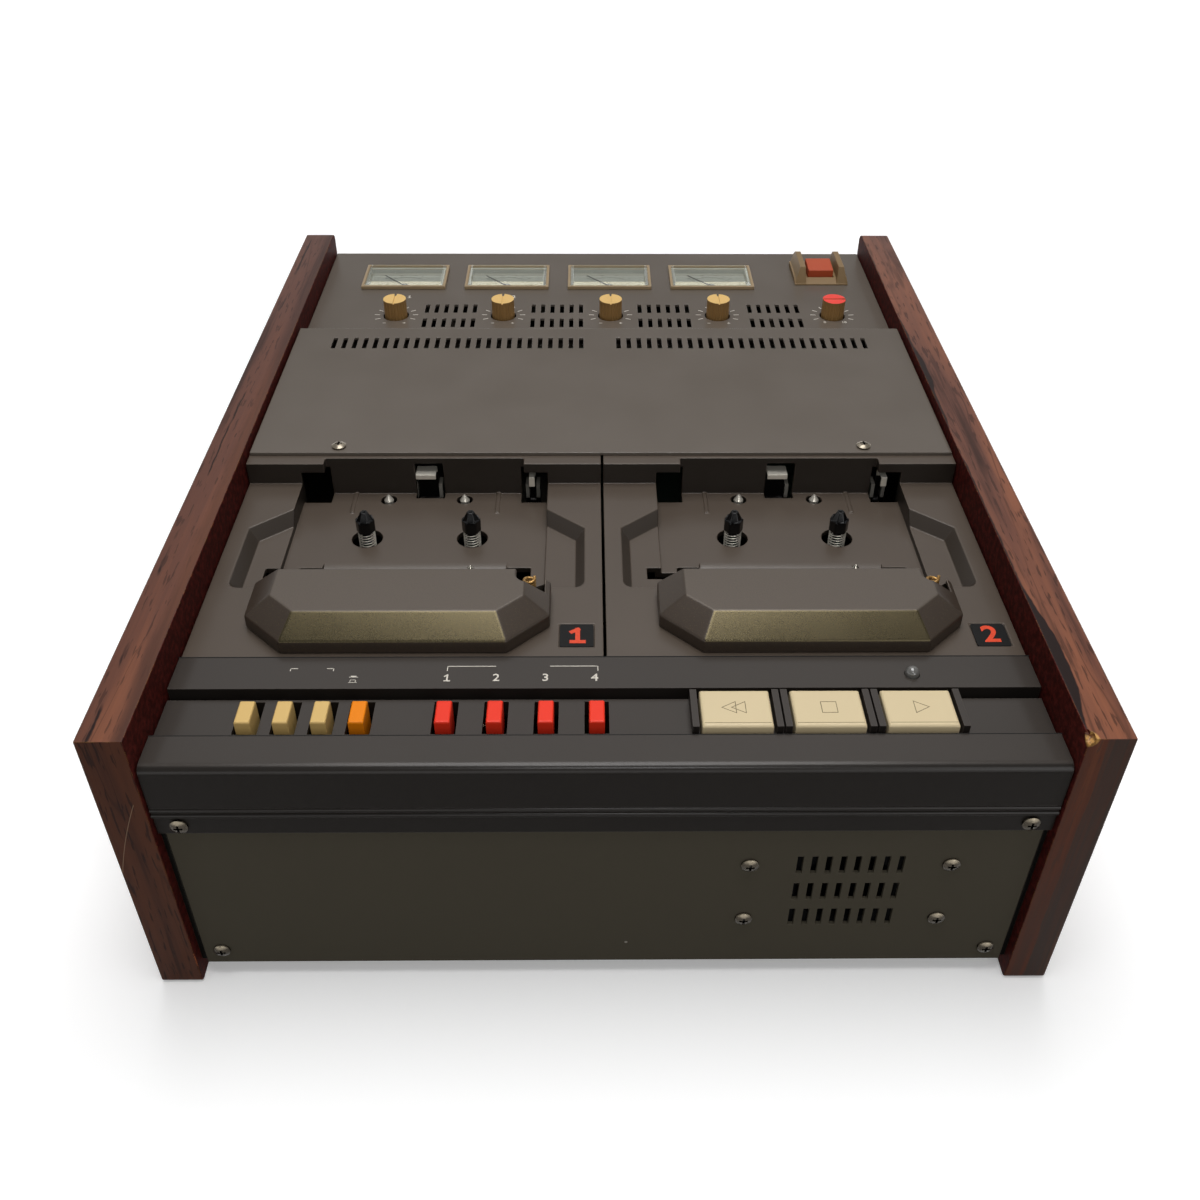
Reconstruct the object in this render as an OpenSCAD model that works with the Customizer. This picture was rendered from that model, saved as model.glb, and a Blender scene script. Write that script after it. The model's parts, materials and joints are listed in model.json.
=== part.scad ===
// Twin-deck cassette duplicator: two open cassette wells side by side, a trough of
// push buttons and keys in front of them, four level meters with their knobs behind,
// and a wooden cheek on either side.
// Millimetres, +Z up. The origin is on the floor under the middle of the body, and
// the front faces -Y.

/* [Body] */
// Width over the cheeks
body_w = 326; // [320:1:420]
// Depth of the cheeks
body_d = 400; // [390:1:500]
// Height of the cheeks
body_h = 125; // [104:1:160]
// Thickness of a cheek
cheek_t = 15; // [12:0.5:18]
// Height of the pan above the floor
floor_gap = 7.5; // [5:0.5:12]
// Thickness of the pressed sheet metal
sheet_t = 1.5; // [1.2:0.1:1.8]
// Wall of the plastic mouldings
wall_t = 2.5; // [2:0.1:3]
// Gap between a panel and the cheek beside it
panel_gap = 0.5; // [0.3:0.1:1]

/* [Fascia] */
// Fascia top below the top of the cheeks
fascia_drop = 13.7; // [12:0.1:16]
// Fascia face behind the front of the cheeks
fascia_set = 1.5; // [1.2:0.1:2]
// Radius of the upper front edge
nose_r = 3; // [2.6:0.1:4]
// Height of the fascia face
nose_h = 18.4; // [15:0.1:22]
// Height of the screwed flange under the face
flange_h = 12.7; // [11:0.1:16]
// Depth of the flat strip in front of the trough, from the cheek fronts
brow_d = 16.5; // [14:0.1:17]
// Depth of the trough from front to back
trough_d = 19.5; // [19:0.1:22]
// Trough floor below the fascia top
trough_drop = 3; // [2:0.1:4]
// Width of the dark groove behind the trough
groove_w = 2.4; // [1.5:0.1:3]
// Front edge of the wells, from the cheek fronts
well_front = 55; // [54:0.5:60]

/* [Keys and buttons] */
// Width of a transport key
key_w = 23.4; // [20:0.1:25]
// Depth of a transport key
key_d = 17.2; // [15:0.1:17.6]
// Height of the keys and buttons above the trough
key_h = 5.2; // [4:0.1:7]
// Distance between keys
key_pitch = 30.3; // [30:0.1:33]
// Middle key from the middle of the body
key_x = 73; // [70:0.5:76]
// Travel of a key
key_travel = 2; // [1:0.1:3]
// Thickness of the fins beside the keys
fin_t = 2.2; // [1.5:0.1:2.3]
// Width of a push button
button_w = 5.2; // [4:0.1:6]
// Depth of a push button
button_d = 10.4; // [8:0.1:12]
// Travel of a push button
button_travel = 3; // [2:0.1:4]
// Distance between the option buttons
option_pitch = 12.3; // [11:0.1:14]
// Middle of the option buttons from the middle of the body
option_x = -99.9; // [-104:0.1:-96]
// Distance between the record buttons
record_pitch = 16.8; // [14:0.1:18]
// Middle of the record buttons from the middle of the body
record_x = -28.3; // [-32:0.1:-26]
// Diameter of the indicator lamp
lamp_dia = 5; // [3:0.5:6]

/* [Cassette wells] */
// Deck surface below the top of the cheeks
deck_drop = 14.6; // [13:0.1:16]
// Rear ledge below the top of the cheeks
ledge_drop = 5; // [4:0.1:6]
// Depth of the cassette pocket
pocket_depth = 8; // [6:0.1:9]
// Width of the cassette pocket
pocket_w = 102.6; // [101.5:0.1:104]
// Rear wall of the pocket, from the cheek fronts
pocket_back = 170; // [169:0.1:172]
// How far the ledge stands out on either side of the rear wall
ledge_out = 4.5; // [3:0.1:6]
// Distance between the two spindles of a deck
spindle_pitch = 42.5;
// Spindle line, from the cheek fronts
spindle_line = 137.4; // [136:0.1:139]
// Diameter of the spindle holes
spindle_hole = 12.3; // [11:0.1:13]
// Depth of the finger recesses
recess_depth = 5.5; // [4:0.1:6]
// How far the walls of a finger recess lean
recess_run = 3.6; // [2:0.1:4]
// Height of the head cover above the deck
hood_h = 11.9; // [10:0.1:13]
// Height of the straight skirt of the head cover
hood_skirt = 5.5; // [4:0.1:7]
// How far the facets of the head cover lean
hood_run = 9.3; // [7:0.1:10]
// Wall of the head cover
hood_t = 2; // [1.5:0.1:2.5]

/* [Tape transport] */
// Transport plate below the pocket floor
plate_drop = 12.4; // [12:0.1:14]
// Diameter of a spindle tip
tip_dia = 7.6; // [7:0.1:8]
// Height of a spindle tip
tip_h = 8.8; // [8.4:0.1:10]
// Spindle tip above the pocket floor
tip_rise = 12.9; // [12:0.1:14]
// Travel of a sprung spindle tip
tip_travel = 3; // [2:0.1:3.5]
// Wire of the tip springs
wire_dia = 0.56; // [0.4:0.02:0.6]
// Turns of a tip spring
spring_turns = 7; // [4:1:7]
// Mean diameter of a tip spring
spring_dia = 6.5; // [6:0.1:7]
// Diameter of the capstan
capstan_dia = 2.5; // [2:0.1:3]
// Capstan to the right of the well centre
capstan_x = 23; // [22:0.5:24]
// Capstan from the cheek fronts
capstan_y = 108.5; // [107:0.5:109]
// Travel of the head bridge
bridge_travel = 8; // [6:0.5:8]
// Diameter of the pinch roller
roller_dia = 11; // [9:0.5:12]

/* [Rear deck] */
// Rear deck below the top of the cheeks
meter_drop = 11.5; // [10:0.1:13]
// Rear edge of the slotted cover, from the rear of the cheeks
cover_back = 112.5; // [111:0.5:116]
// Width of a meter
meter_w = 45; // [40:0.5:48]
// Depth of a meter
meter_d = 28.2; // [26:0.1:31]
// Distance between the meters, and between the knobs
meter_pitch = 55.3; // [54:0.1:57]
// First meter from the middle of the body
meter_x = -104.6; // [-110:0.1:-100]
// Middle of the meters, from the rear of the cheeks
meter_line = 35.9; // [34:0.1:38]
// Knob line, from the rear of the cheeks
knob_line = 81.2; // [79:0.1:83]
// Diameter of a knob
knob_dia = 11.5; // [10:0.1:13]
// Height of a knob above the rear deck
knob_h = 9.2; // [6:0.1:10]
// Monitor knob from the middle of the body
monitor_x = 120.8; // [118:0.1:124]
// Middle of the power switch, from the rear of the cheeks
switch_line = 31; // [28:0.5:34]
// Width of the power switch guard
guard_w = 28.5; // [26:0.1:31]
// Depth of the power switch guard
guard_d = 26; // [24:0.1:28]
// Width of the vent slots
slot_w = 2.1; // [1.5:0.1:2.5]
// Distance between the vent slots
slot_pitch = 4.95; // [4:0.05:5]

/* [Clearances] */
// Running clearance of a shaft in its hole, on the radius
run_fit = 0.05; // [0.02:0.01:0.1]
// Clearance between parts that move past each other
move_gap = 0.3; // [0.2:0.05:0.5]
// Clearance of a fixed part in its cut-out
seat_gap = 0.2; // [0.1:0.05:0.4]

/* [Hidden] */
$fn = 48;
eps = 0.02;
// How far a cut runs past the face that it opens
over = 1;
// Reach of a cut that only has to clear a thin wall
reach = 12;

// Planes and edges that the pieces share
half_in = body_w / 2 - cheek_t;
half_panel = half_in - panel_gap;
front = -body_d / 2;
rear = body_d / 2;
fascia_z = body_h - fascia_drop;
trough_z = fascia_z - trough_drop;
key_z = trough_z + key_h;
deck_z = body_h - deck_drop;
deck_under = deck_z - wall_t;
pocket_z = deck_z - pocket_depth;
pocket_under = pocket_z - wall_t;
recess_z = deck_z - recess_depth;
ledge_z = body_h - ledge_drop;
cover_z = ledge_z + sheet_t;
meter_z = body_h - meter_drop;
meter_under = meter_z - sheet_t;
pan_z = floor_gap + sheet_t;
plate_z = pocket_z - plate_drop;

// Cheeks and pan
cheek_rear_r = 4;
cheek_foot_r = 2;
rear_set = 1.5;
front_lip_h = 14;
side_slope = 20;
standoff_dia = 7;
standoff_in = 8;
inlet_x = 100;
inlet_z = floor_gap + 26;
inlet_w = 28;
inlet_h = 20;
rear_vent_x = -40;
rear_vent_z = floor_gap + 32;

// Fascia and front panel
flange_t = 1.2;
flange_set = fascia_set + 0.8;
panel_set = flange_set + flange_t;
pan_set = panel_set + sheet_t;
flange_top = fascia_z - nose_h;
flange_z = flange_top - flange_h;
bead_r = 1.1;
bead_z = [flange_top - 1.2, flange_top - 3.7];
groove_set = brow_d + trough_d;
groove_drop = 7;
side_wall_low = fascia_z - groove_drop - wall_t - 2;
strip_set = groove_set + groove_w;
fascia_end = well_front - 0.4;
front_panel_half = half_in - 2.5;
front_panel_top = flange_top - panel_gap;
fin_gap = 0.9;
fin_d = key_d + 0.4;
key_set = brow_d + 1.4;
key_names = ["rewind_key", "stop_key", "copy_key"];
button_set = brow_d + 3.5;
button_slot_w = button_w + 3;
button_slot_d = button_d + 4.6;
button_at = concat(
  [for (i = [0:3]) option_x + (i - 1.5) * option_pitch],
  [for (i = [0:3]) record_x + (i - 1.5) * record_pitch]
);
button_chamfer = 0.4;
key_chamfer = 0.7;
lamp_x = key_x + key_pitch + 1.7;
lamp_set = strip_set + 6.7;
lamp_rise = 0.6;
lamp_body_h = 8;
lamp_rim = 0.7;
lamp_rim_h = 1;

// Screws
screw_dia = 3;
screw_head = 6;
screw_head_h = 1.8;
screw_len = 6;
screw_hole = screw_dia + 2 * seat_gap;
screw_dome_r = 5;
screw_cross = [3, 0.8, 1];
flange_screw_x = half_in - 8.2;
flange_screw_z = flange_z + 3.8;
foot_screw_x = half_in - 9;
foot_screw_z = floor_gap + 7.5;
cover_screw_dx = 36.5;
cover_screw_x = half_in / 2 + cover_screw_dx;
cover_screw_set = pocket_back + 6.8;

// Front grille and the loudspeaker behind it
speaker_x = 83.5;
speaker_z = floor_gap + 39.5;
speaker_screw = [34.4, 14.7];
front_screws = concat(
  [for (s = [-1, 1]) [s * flange_screw_x, flange_set, flange_screw_z]],
  [for (s = [-1, 1]) [s * foot_screw_x, panel_set, foot_screw_z]],
  [for (sx = [-1, 1]) for (sz = [-1, 1])
    [speaker_x + sx * speaker_screw[0], panel_set, speaker_z + sz * speaker_screw[1]]]
);
grille_cols = 8;
grille_row_pitch = 14.2;
grille_slot_h = 9;
speaker_rim = 6;
basket_h = 12;
magnet_dia = 30;
magnet_h = 9;

// Transformer and mains inlet
core_in = 58;
core_line = 85;
core_w = 60;
core_d = 30;
core_h = 50;
core_limb = 10;
core_foot = 8;
core_foot_t = 2;
inlet_d = 20;
inlet_lip = 2;
inlet_wall = 3;
inlet_pin = 3;
inlet_pin_x = 5;
inlet_pin_set = 3;

// Wells
deck_names = ["master", "slave"];
well_x = [-half_in / 2, half_in / 2];
well_half = half_in / 2 - panel_gap;
pocket_half = pocket_w / 2;
pocket_set = 75;
ledge_set = pocket_back - ledge_out;
ledge_end = pocket_back + 8;
ledge_half = 41.4;
recess_back = 146.7;
recess_knee = 133.3;
recess_front = 95;
recess_out = 66.8;
recess_r = 4;
recess_lap = 4;
well_lip_h = 8;
well_lip_in = sheet_t + 1;
head_hole = [-45, 45.6];
head_hole_set = 77;
head_hole_back = 117.5;
side_hole = [-57, -44];
side_hole_set = [107, 114];
ramp_half = 36;
ramp_d = 3.5;
ramp_drop = 1.5;
side_window = [40, pocket_half];
side_window_set = ledge_set - 2.2;
side_window_top = ledge_z - 4.4;
mid_window = [-4.6, 7.3];
mid_window_set = pocket_back - 3.5;
mid_window_top = ledge_z - 2.7;
rest_x = 16;
rest_set = spindle_line + 27.9;
rest_dia = 4;
rest_point = 0.8;
rest_cone_h = 2.4;
rest_hole = 6.6;
rib_x = 30.2;
rib_d = 15;
rib_w = 1.6;
rib_h = 0.6;
badge_x = 64;
badge_set = 67;
badge_w = 12.6;
badge_drop = 0.6;
boss_dia = 8;
boss_at = [[-62, 64], [62, 64], [-61, 160], [61, 160]];

// Head cover
hood_half = 54.4;
hood_front = 57.2;
hood_shoulder = 71.6;
hood_back = 91;
hood_corner = 39.6;
hood_notch = [42, 52.2];
hood_notch_d = 7.5;
hood_notch_r = 4;
hood_notch_z = 1;

// Spindles and springs
tip_z = pocket_z + tip_rise - tip_h;
tip_cone_h = 4.9;
tip_end_dia = 3;
tip_hex = tip_dia * 1.06;
tip_bore = tip_h - 3;
spindle_shaft = 3.4;
tip_dimple = [1.1, 0.8];
spring_room = 10.2;
spring_seat_z = tip_z - spring_room;
curl_rings = 8;
wire_sides = 6;
helix_low = spring_seat_z + move_gap + wire_dia;
helix_high = tip_z - move_gap - wire_dia;
helix_steps = spring_turns * curl_rings;
helix_pitch = (helix_high - helix_low) / spring_turns;
hub_dia = 11;
hub_z = plate_z + move_gap;
drive_shaft = 3;
drive_len = 14;
spindle_at = [for (x = well_x) for (s = [-1, 1]) x + s * spindle_pitch / 2];

// Capstan, motors and the transport plate
plate_t = 2;
plate_half = 67;
plate_set = 58;
plate_end = 180;
reel_motor_dia = 22;
reel_motor_h = 20;
sleeve_dia = 8;
sleeve_h = 26;
flywheel_dia = 64;
flywheel_h = 8;
flywheel_z = plate_z - plate_t - sleeve_h - move_gap - flywheel_h;
motor_dia = 50;
motor_h = 15;
motor_flange_t = 2;
motor_z = flywheel_z - 2;
motor_post_r = 39;
motor_post_dia = 6;
motor_post_at = [20, 160, 270];
butt_gap = 0.05;
motor_flange_r = motor_post_r + motor_post_dia / 2 + 1;
capstan_top = deck_z;
capstan_foot = 6;
capstan_cone_h = 1.2;
capstan_point = 0.6;
belt_groove = 1;
belt_edge = 1.5;
flywheel_dish = [8, 26];
dish_drop = 2;

// Head bridge and its guides
bridge_t = 1.5;
bridge_z = plate_z + 3.5;
bridge_x = [-38, 40];
bridge_set = 66;
bridge_end = 104;
bridge_notch = 3;
guide_x = 31;
guide_set = 78;
guide_dia = 3;
guide_head = 6;
guide_head_h = 1.2;
arm_post_x = 46.6;
arm_post_set = 88.6;
arm_post_dia = 2;
arm_post_top = pocket_z + 13.6;
arm_post_hole = 8;
head_w = 14;
head_d = 12;
head_top = pocket_z + 9.6;
erase_x = 14;
erase_w = 6;
erase_top = head_top - 1.5;
roller_pin = 2.5;
roller_h = 8;
roller_z = pocket_z + 1;
roller_pin_top = roller_z + roller_h + 1;
roller_set = capstan_y - capstan_dia / 2 - roller_dia / 2 - move_gap - bridge_travel;

// Levers behind the pocket
lever_set = pocket_back + 5;
lever_z = plate_z + 6;
lever_t = 0.8;
lever_pin = 2;
lever_eye = 4;
hold_x = 0;
hold_w = 8.4;
hold_lip_z = pocket_z + 10.5;
tab_x = 44.6;
tab_w = 2.4;
tab_nose_z = [pocket_z + 6.2, pocket_z + 10.6];
lever_ear_t = 1.5;
lever_ear_top = pocket_z + 2.6;
lever_ear_set = [lever_eye / 2 + 0.2, lever_eye];
hold_lip_set = pocket_back - 2;
hold_lip_h = 2.2;
tab_nose_set = pocket_back - 4.3;

// Rear deck
cover_end = rear - cover_back;
cover_half = half_in - 1;
cover_lap = 2;
cover_slot_cols = 25;
cover_slot_x = 68.4;
cover_slot_d = 11;
cover_slot_line = 15.5;
vent_cols = 6;
vent_d = 10;
vent_rows = [-8.3, 8.3];
meter_at = [for (i = [0:3]) meter_x + i * meter_pitch];
knob_at = concat(meter_at, [monitor_x]);
vent_at = [for (i = [0:3]) (knob_at[i] + knob_at[i + 1]) / 2];
knob_hole = knob_dia + 1.5;
knob_below = 4;
knob_cap_h = 0.7;
knob_crown = 2.5;
knob_slot = [0.8, 0.5];
knob_notch = [1.2, 1.6];
monitor_turn = -90;
knob_flutes = 20;
flute_r = 0.55;
meter_rim = 1.6;
meter_bezel = 1.5;
meter_ledge = 1.5;
meter_rise = 2;
meter_body_h = 16;
dial_z = meter_z - 2;
lens_z = meter_z + 0.8;
lens_rise = 2.4;
lens_bevel = 1.4;
needle_w = 0.5;
needle_t = 0.4;
needle_tail = 2.4;
needle_hub = 3.2;
needle_hub_h = 0.8;
needle_pin = 1.2;
needle_strip = 6;
needle_strip_h = 1;
needle_gap = 1.2;
needle_len = meter_d - 2 * (meter_bezel + meter_ledge) - needle_strip / 2 - needle_gap;
needle_rest = 42;
guard_base_h = 2.6;
guard_ear = 6;
guard_ear_top = 2.8;
guard_lean = 2.5;
guard_h = 9.3;
guard_ear_front = 3;
guard_ear_r = 3;
guard_lip_h = 0.7;
switch_body_w = 17;
switch_body_d = 19;
switch_body_h = 14;
switch_hole_w = switch_body_w + 2 * seat_gap;
switch_hole_d = switch_body_d + 2 * seat_gap;
rocker_w = 13.6;
rocker_d = 14;
rocker_top = 6.8;
rocker_pivot_z = meter_z - 3;
rocker_tilt = 4;
rocker_below = 3;
rocker_swing = 1.2;
trunnion_dia = 2;

// Boards
board_t = 1.6;
switch_board_z = trough_z - 24;
switch_board_in = 8;
switch_board_set = [brow_d - 3, strip_set + 6];
switch_h = 12;
switch_w = 9;
switch_floor = 0.6;
switch_top = switch_board_z + board_t + switch_h;
switch_post_x = [-133, 8, 133];
switch_post_y = front + brow_d + 9;
stem_w = 3;
level_board_z = meter_under - 16.4;
level_board_over = 18;
level_board_half = 15;
pot_dia = 16;
pot_h = 8;
pot_shaft = 6;
stud_dia = 5;
main_board_z = pan_z + 16;
main_board_x = [-20, 120];
main_board_y = [-25, 150];
capacitor_x = [5, 31, 57, 83];
capacitor_y = 120;
capacitor_dia = 16;
capacitor_h = 26;
heatsink_x = [0, 100];
heatsink_y = [5, 13];
heatsink_h = 30;
chip_x = [0, 22, 44, 66, 88];
chip_y = [45, 52];
chip_w = 16;
chip_h = 4;

// A box given by its two corners on each axis
module box(x, y, z) {
  translate([x[0], y[0], z[0]]) cube([x[1] - x[0], y[1] - y[0], z[1] - z[0]]);
}

// A profile drawn in Y and Z, carried along X between two places
module along_x(x) {
  translate([x[0], 0, 0]) rotate([90, 0, 90]) linear_extrude(x[1] - x[0]) children();
}

// What is left of a square corner when it is rounded off
module corner_waste(r) {
  difference() {
    translate([-eps, -eps]) square(r + eps);
    translate([r, r]) circle(r);
  }
}

// A row of upright slots that goes through a sheet lying flat
module slot_row(x, y, count, depth, z) {
  for (i = [0:count - 1]) {
    sx = x + (i - (count - 1) / 2) * slot_pitch;
    box([sx - slot_w / 2, sx + slot_w / 2], [y - depth / 2, y + depth / 2], z);
  }
}

// Cheeks: veneered boards, sharp at the front top corner and eased at the others
module cheek_outline() {
  difference() {
    translate([front, 0]) square([body_d, body_h]);
    translate([rear, body_h]) rotate(180) corner_waste(cheek_rear_r);
    translate([front, 0]) corner_waste(cheek_foot_r);
    translate([rear, 0]) rotate(90) corner_waste(cheek_foot_r);
  }
}

module side_cheeks() {
  color("saddlebrown") {
    along_x([-body_w / 2, -half_in]) cheek_outline();
    along_x([half_in, body_w / 2]) cheek_outline();
  }
}

// Pan: floor, two sides and the rear wall, bent from one sheet
module pan_side() {
  pan_front = front + pan_set;
  well_start = front + well_front;
  well_stop = front + ledge_end + panel_gap;
  polygon([
    [pan_front, floor_gap], [rear - rear_set, floor_gap], [rear - rear_set, meter_under],
    [well_stop, meter_under], [well_stop, deck_under], [well_start, deck_under],
    [well_start, side_wall_low], [pan_front + side_slope, side_wall_low], [pan_front, flange_z]
  ]);
}

module standoff(x, y) {
  translate([x, y, pan_z - eps]) cylinder(d = standoff_dia, h = main_board_z - pan_z + eps);
}

module chassis_pan() {
  color("dimgray") difference() {
    union() {
      box([-half_in, half_in], [front + pan_set, rear - rear_set], [floor_gap, pan_z]);
      box([-half_in, half_in], [rear - rear_set - sheet_t, rear - rear_set], [floor_gap, meter_under]);
      box([-half_in, half_in], [front + pan_set, front + pan_set + sheet_t],
          [floor_gap, floor_gap + front_lip_h]);
      along_x([-half_in, -half_in + sheet_t]) pan_side();
      along_x([half_in - sheet_t, half_in]) pan_side();
      for (x = main_board_x, y = main_board_y)
        standoff(x - sign(x) * standoff_in, y - sign(y) * standoff_in);
    }
    box([inlet_x - inlet_w / 2, inlet_x + inlet_w / 2], [rear - reach, rear + over],
        [inlet_z - inlet_h / 2, inlet_z + inlet_h / 2]);
    translate([rear_vent_x, rear, rear_vent_z]) rotate([90, 0, 0])
      for (row = [-1, 1])
        slot_row(0, row * grille_row_pitch / 2, 2 * grille_cols, grille_slot_h, [-over, reach]);
    for (s = [-1, 1])
      translate([s * foot_screw_x, front, foot_screw_z]) rotate([-90, 0, 0])
        cylinder(d = screw_hole, h = reach);
  }
}

// Front panel: plain sheet with the loudspeaker grille
module front_panel() {
  color("#3a382f") difference() {
    box([-front_panel_half, front_panel_half], [front + panel_set, front + pan_set],
        [floor_gap, front_panel_top]);
    translate([speaker_x, front, speaker_z]) rotate([90, 0, 0])
      for (row = [-1:1])
        slot_row(0, row * grille_row_pitch, grille_cols, grille_slot_h, [-reach, over]);
    for (p = front_screws)
      translate([p[0], front, p[2]]) rotate([-90, 0, 0])
        cylinder(d = screw_hole, h = reach);
  }
}

// Fascia: face with a rounded brow, trough for the keys, groove and legend strip
module fascia_profile() {
  brow_z = fascia_z - wall_t;
  face_in = fascia_set + wall_t;
  translate([flange_set, flange_z]) square([flange_t, flange_h + eps]);
  translate([fascia_set, flange_top]) square([wall_t, nose_h - nose_r]);
  translate([fascia_set + nose_r, fascia_z - nose_r]) intersection() {
    difference() {
      circle(nose_r);
      circle(nose_r - wall_t);
    }
    translate([-nose_r, 0]) square(nose_r);
  }
  translate([fascia_set + nose_r - eps, brow_z]) square([brow_d - fascia_set - nose_r + eps, wall_t]);
  translate([brow_d - wall_t, trough_z - wall_t]) square([wall_t, trough_drop + wall_t]);
  translate([brow_d - eps, trough_z - wall_t]) square([trough_d + eps, wall_t]);
  translate([groove_set - wall_t, fascia_z - groove_drop - wall_t])
    square([wall_t, groove_drop - trough_drop + wall_t]);
  translate([groove_set - wall_t, fascia_z - groove_drop - wall_t])
    square([groove_w + 2 * wall_t, wall_t]);
  translate([strip_set, fascia_z - groove_drop - eps]) square([wall_t, groove_drop + eps]);
  translate([strip_set, brow_z]) square([fascia_end - strip_set, wall_t]);
  for (z = bead_z) translate([flange_set, z]) intersection() {
    circle(bead_r);
    translate([-bead_r, -bead_r]) square([bead_r + flange_t / 2, 2 * bead_r]);
  }
}

module key_fins() {
  inner = key_w / 2 + fin_gap;
  for (k = [-1:1], s = [-1, 1]) {
    x = key_x + k * key_pitch + s * (inner + fin_t / 2);
    y = front + key_set - (fin_d - key_d) / 2;
    box([x - fin_t / 2, x + fin_t / 2], [y, y + fin_d], [trough_z - eps, key_z]);
  }
}

module fascia() {
  color("#2c2824") difference() {
    union() {
      translate([0, front, 0]) along_x([-half_panel, half_panel]) fascia_profile();
      key_fins();
      for (x = switch_post_x)
        translate([x, switch_post_y, switch_board_z + board_t])
          cylinder(d = stud_dia, h = trough_z - wall_t - switch_board_z - board_t + eps);
    }
    for (k = [-1:1]) {
      x = key_x + k * key_pitch;
      box([x - key_w / 2 - move_gap, x + key_w / 2 + move_gap],
          [front + key_set - move_gap, front + key_set + key_d + move_gap],
          [trough_z - reach, trough_z + over]);
    }
    for (x = button_at)
      box([x - button_slot_w / 2, x + button_slot_w / 2],
          [front + button_set - move_gap, front + button_set + button_slot_d],
          [trough_z - reach, trough_z + over]);
    translate([lamp_x, front + lamp_set, fascia_z - reach])
      cylinder(d = lamp_dia + 2 * seat_gap, h = reach + over);
    for (s = [-1, 1])
      translate([s * flange_screw_x, front, flange_screw_z]) rotate([-90, 0, 0])
        cylinder(d = screw_hole, h = reach);
  }
}

module indicator_lamp() {
  lamp_r = lamp_dia / 2;
  color("#6f6f6b") translate([lamp_x, front + lamp_set, fascia_z]) {
    translate([0, 0, -lamp_body_h]) cylinder(d = lamp_dia, h = lamp_body_h + lamp_rise);
    translate([0, 0, lamp_rise]) rotate_extrude() intersection() {
      circle(lamp_r);
      square(lamp_r);
    }
    translate([0, 0, -wall_t - lamp_rim_h]) cylinder(d = lamp_dia + 2 * lamp_rim, h = lamp_rim_h);
  }
}

// Cassette well: deck, pocket, finger recesses and the rear ledge in one moulding.
// The outline of a finger recess, drawn on the right of the pocket and drawn in by inset
module recess_outline(inset, lap) {
  x_in = pocket_half - lap;
  x_out = recess_out - inset;
  lean = (recess_back - recess_knee) / (recess_out - pocket_half);
  knee_drop = inset * (sqrt(1 + lean * lean) - lean);
  back_drop = inset * sqrt(1 + lean * lean);
  back = recess_back + lean * lap - back_drop;
  polygon(concat(
    [[x_in, front + back], [x_out, front + recess_knee - knee_drop]],
    [for (a = [0:15:90])
      [x_out - recess_r + recess_r * cos(a), front + recess_front + recess_r - recess_r * sin(a)]],
    [[x_in, front + recess_front]]
  ));
}

module recess_form(grow, low, high, lap) {
  run = recess_run * (deck_z - low) / recess_depth;
  hull() {
    translate([0, 0, high - eps]) linear_extrude(eps) recess_outline(-grow, lap);
    translate([0, 0, low]) linear_extrude(eps) recess_outline(run - grow, lap);
  }
}

module well_body() {
  box([-well_half, well_half], [front + well_front, front + ledge_end], [deck_under, deck_z]);
  box([-well_half + well_lip_in, well_half - well_lip_in], [front + well_front, front + well_front + wall_t],
      [deck_z - well_lip_h, deck_z]);
  box([-well_half, well_half], [front + ledge_set, front + ledge_end], [deck_under, ledge_z]);
  box([-pocket_half - wall_t, pocket_half + wall_t],
      [front + pocket_set - wall_t, front + pocket_back + wall_t], [pocket_under, deck_z]);
  for (s = [0, 1])
    mirror([s, 0, 0]) recess_form(wall_t, recess_z - wall_t, deck_z - eps, 0);
  for (p = boss_at)
    translate([p[0], front + p[1], plate_z]) cylinder(d = boss_dia, h = deck_under - plate_z + eps);
}

module well_hollows(screw_side) {
  box([-pocket_half, pocket_half], [front + pocket_set, front + ledge_set], [pocket_z, deck_z + over]);
  box([-ledge_half, ledge_half], [front + ledge_set - reach, front + pocket_back],
      [pocket_z, ledge_z + over]);
  for (s = [0, 1]) mirror([s, 0, 0]) {
    recess_form(0, recess_z, deck_z + eps, recess_lap);
    box([ledge_half + wall_t, well_half - wall_t], [front + ledge_set + wall_t, front + ledge_end + over],
        [pocket_under - over, ledge_z - wall_t]);
    box(side_window, [front + side_window_set, front + ledge_end + over],
        [pocket_under - over, side_window_top]);
    translate([spindle_pitch / 2, front + spindle_line, pocket_under - over])
      cylinder(d = spindle_hole, h = wall_t + 2 * over);
    translate([rest_x, front + rest_set, pocket_under - over]) cylinder(d = rest_hole, h = wall_t + 2 * over);
  }
  box([-ledge_half - wall_t - eps, ledge_half + wall_t + eps],
      [front + pocket_back + wall_t, front + ledge_end + over], [pocket_under - over, ledge_z - wall_t]);
  box(mid_window, [front + mid_window_set, front + ledge_end + over], [pocket_under - over, mid_window_top]);
  box(head_hole, [front + head_hole_set, front + head_hole_back], [pocket_under - over, pocket_z + over]);
  translate([arm_post_x, front + arm_post_set, pocket_under - over])
    cylinder(d = arm_post_hole, h = wall_t + 2 * over);
  box(side_hole, [front + side_hole_set[0], front + side_hole_set[1]],
      [pocket_under - over, deck_z - over]);
  along_x([-ramp_half, ramp_half]) translate([front + head_hole_back, pocket_z])
    polygon([[-eps, eps], [ramp_d, eps], [-eps, -ramp_drop]]);
  box([badge_x - badge_w / 2, badge_x + badge_w / 2],
      [front + badge_set - badge_w / 2, front + badge_set + badge_w / 2],
      [deck_z - badge_drop, deck_z + over]);
  translate([screw_side * cover_screw_dx, front + cover_screw_set, ledge_z - reach])
    cylinder(d = screw_hole, h = reach + over);
}

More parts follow.
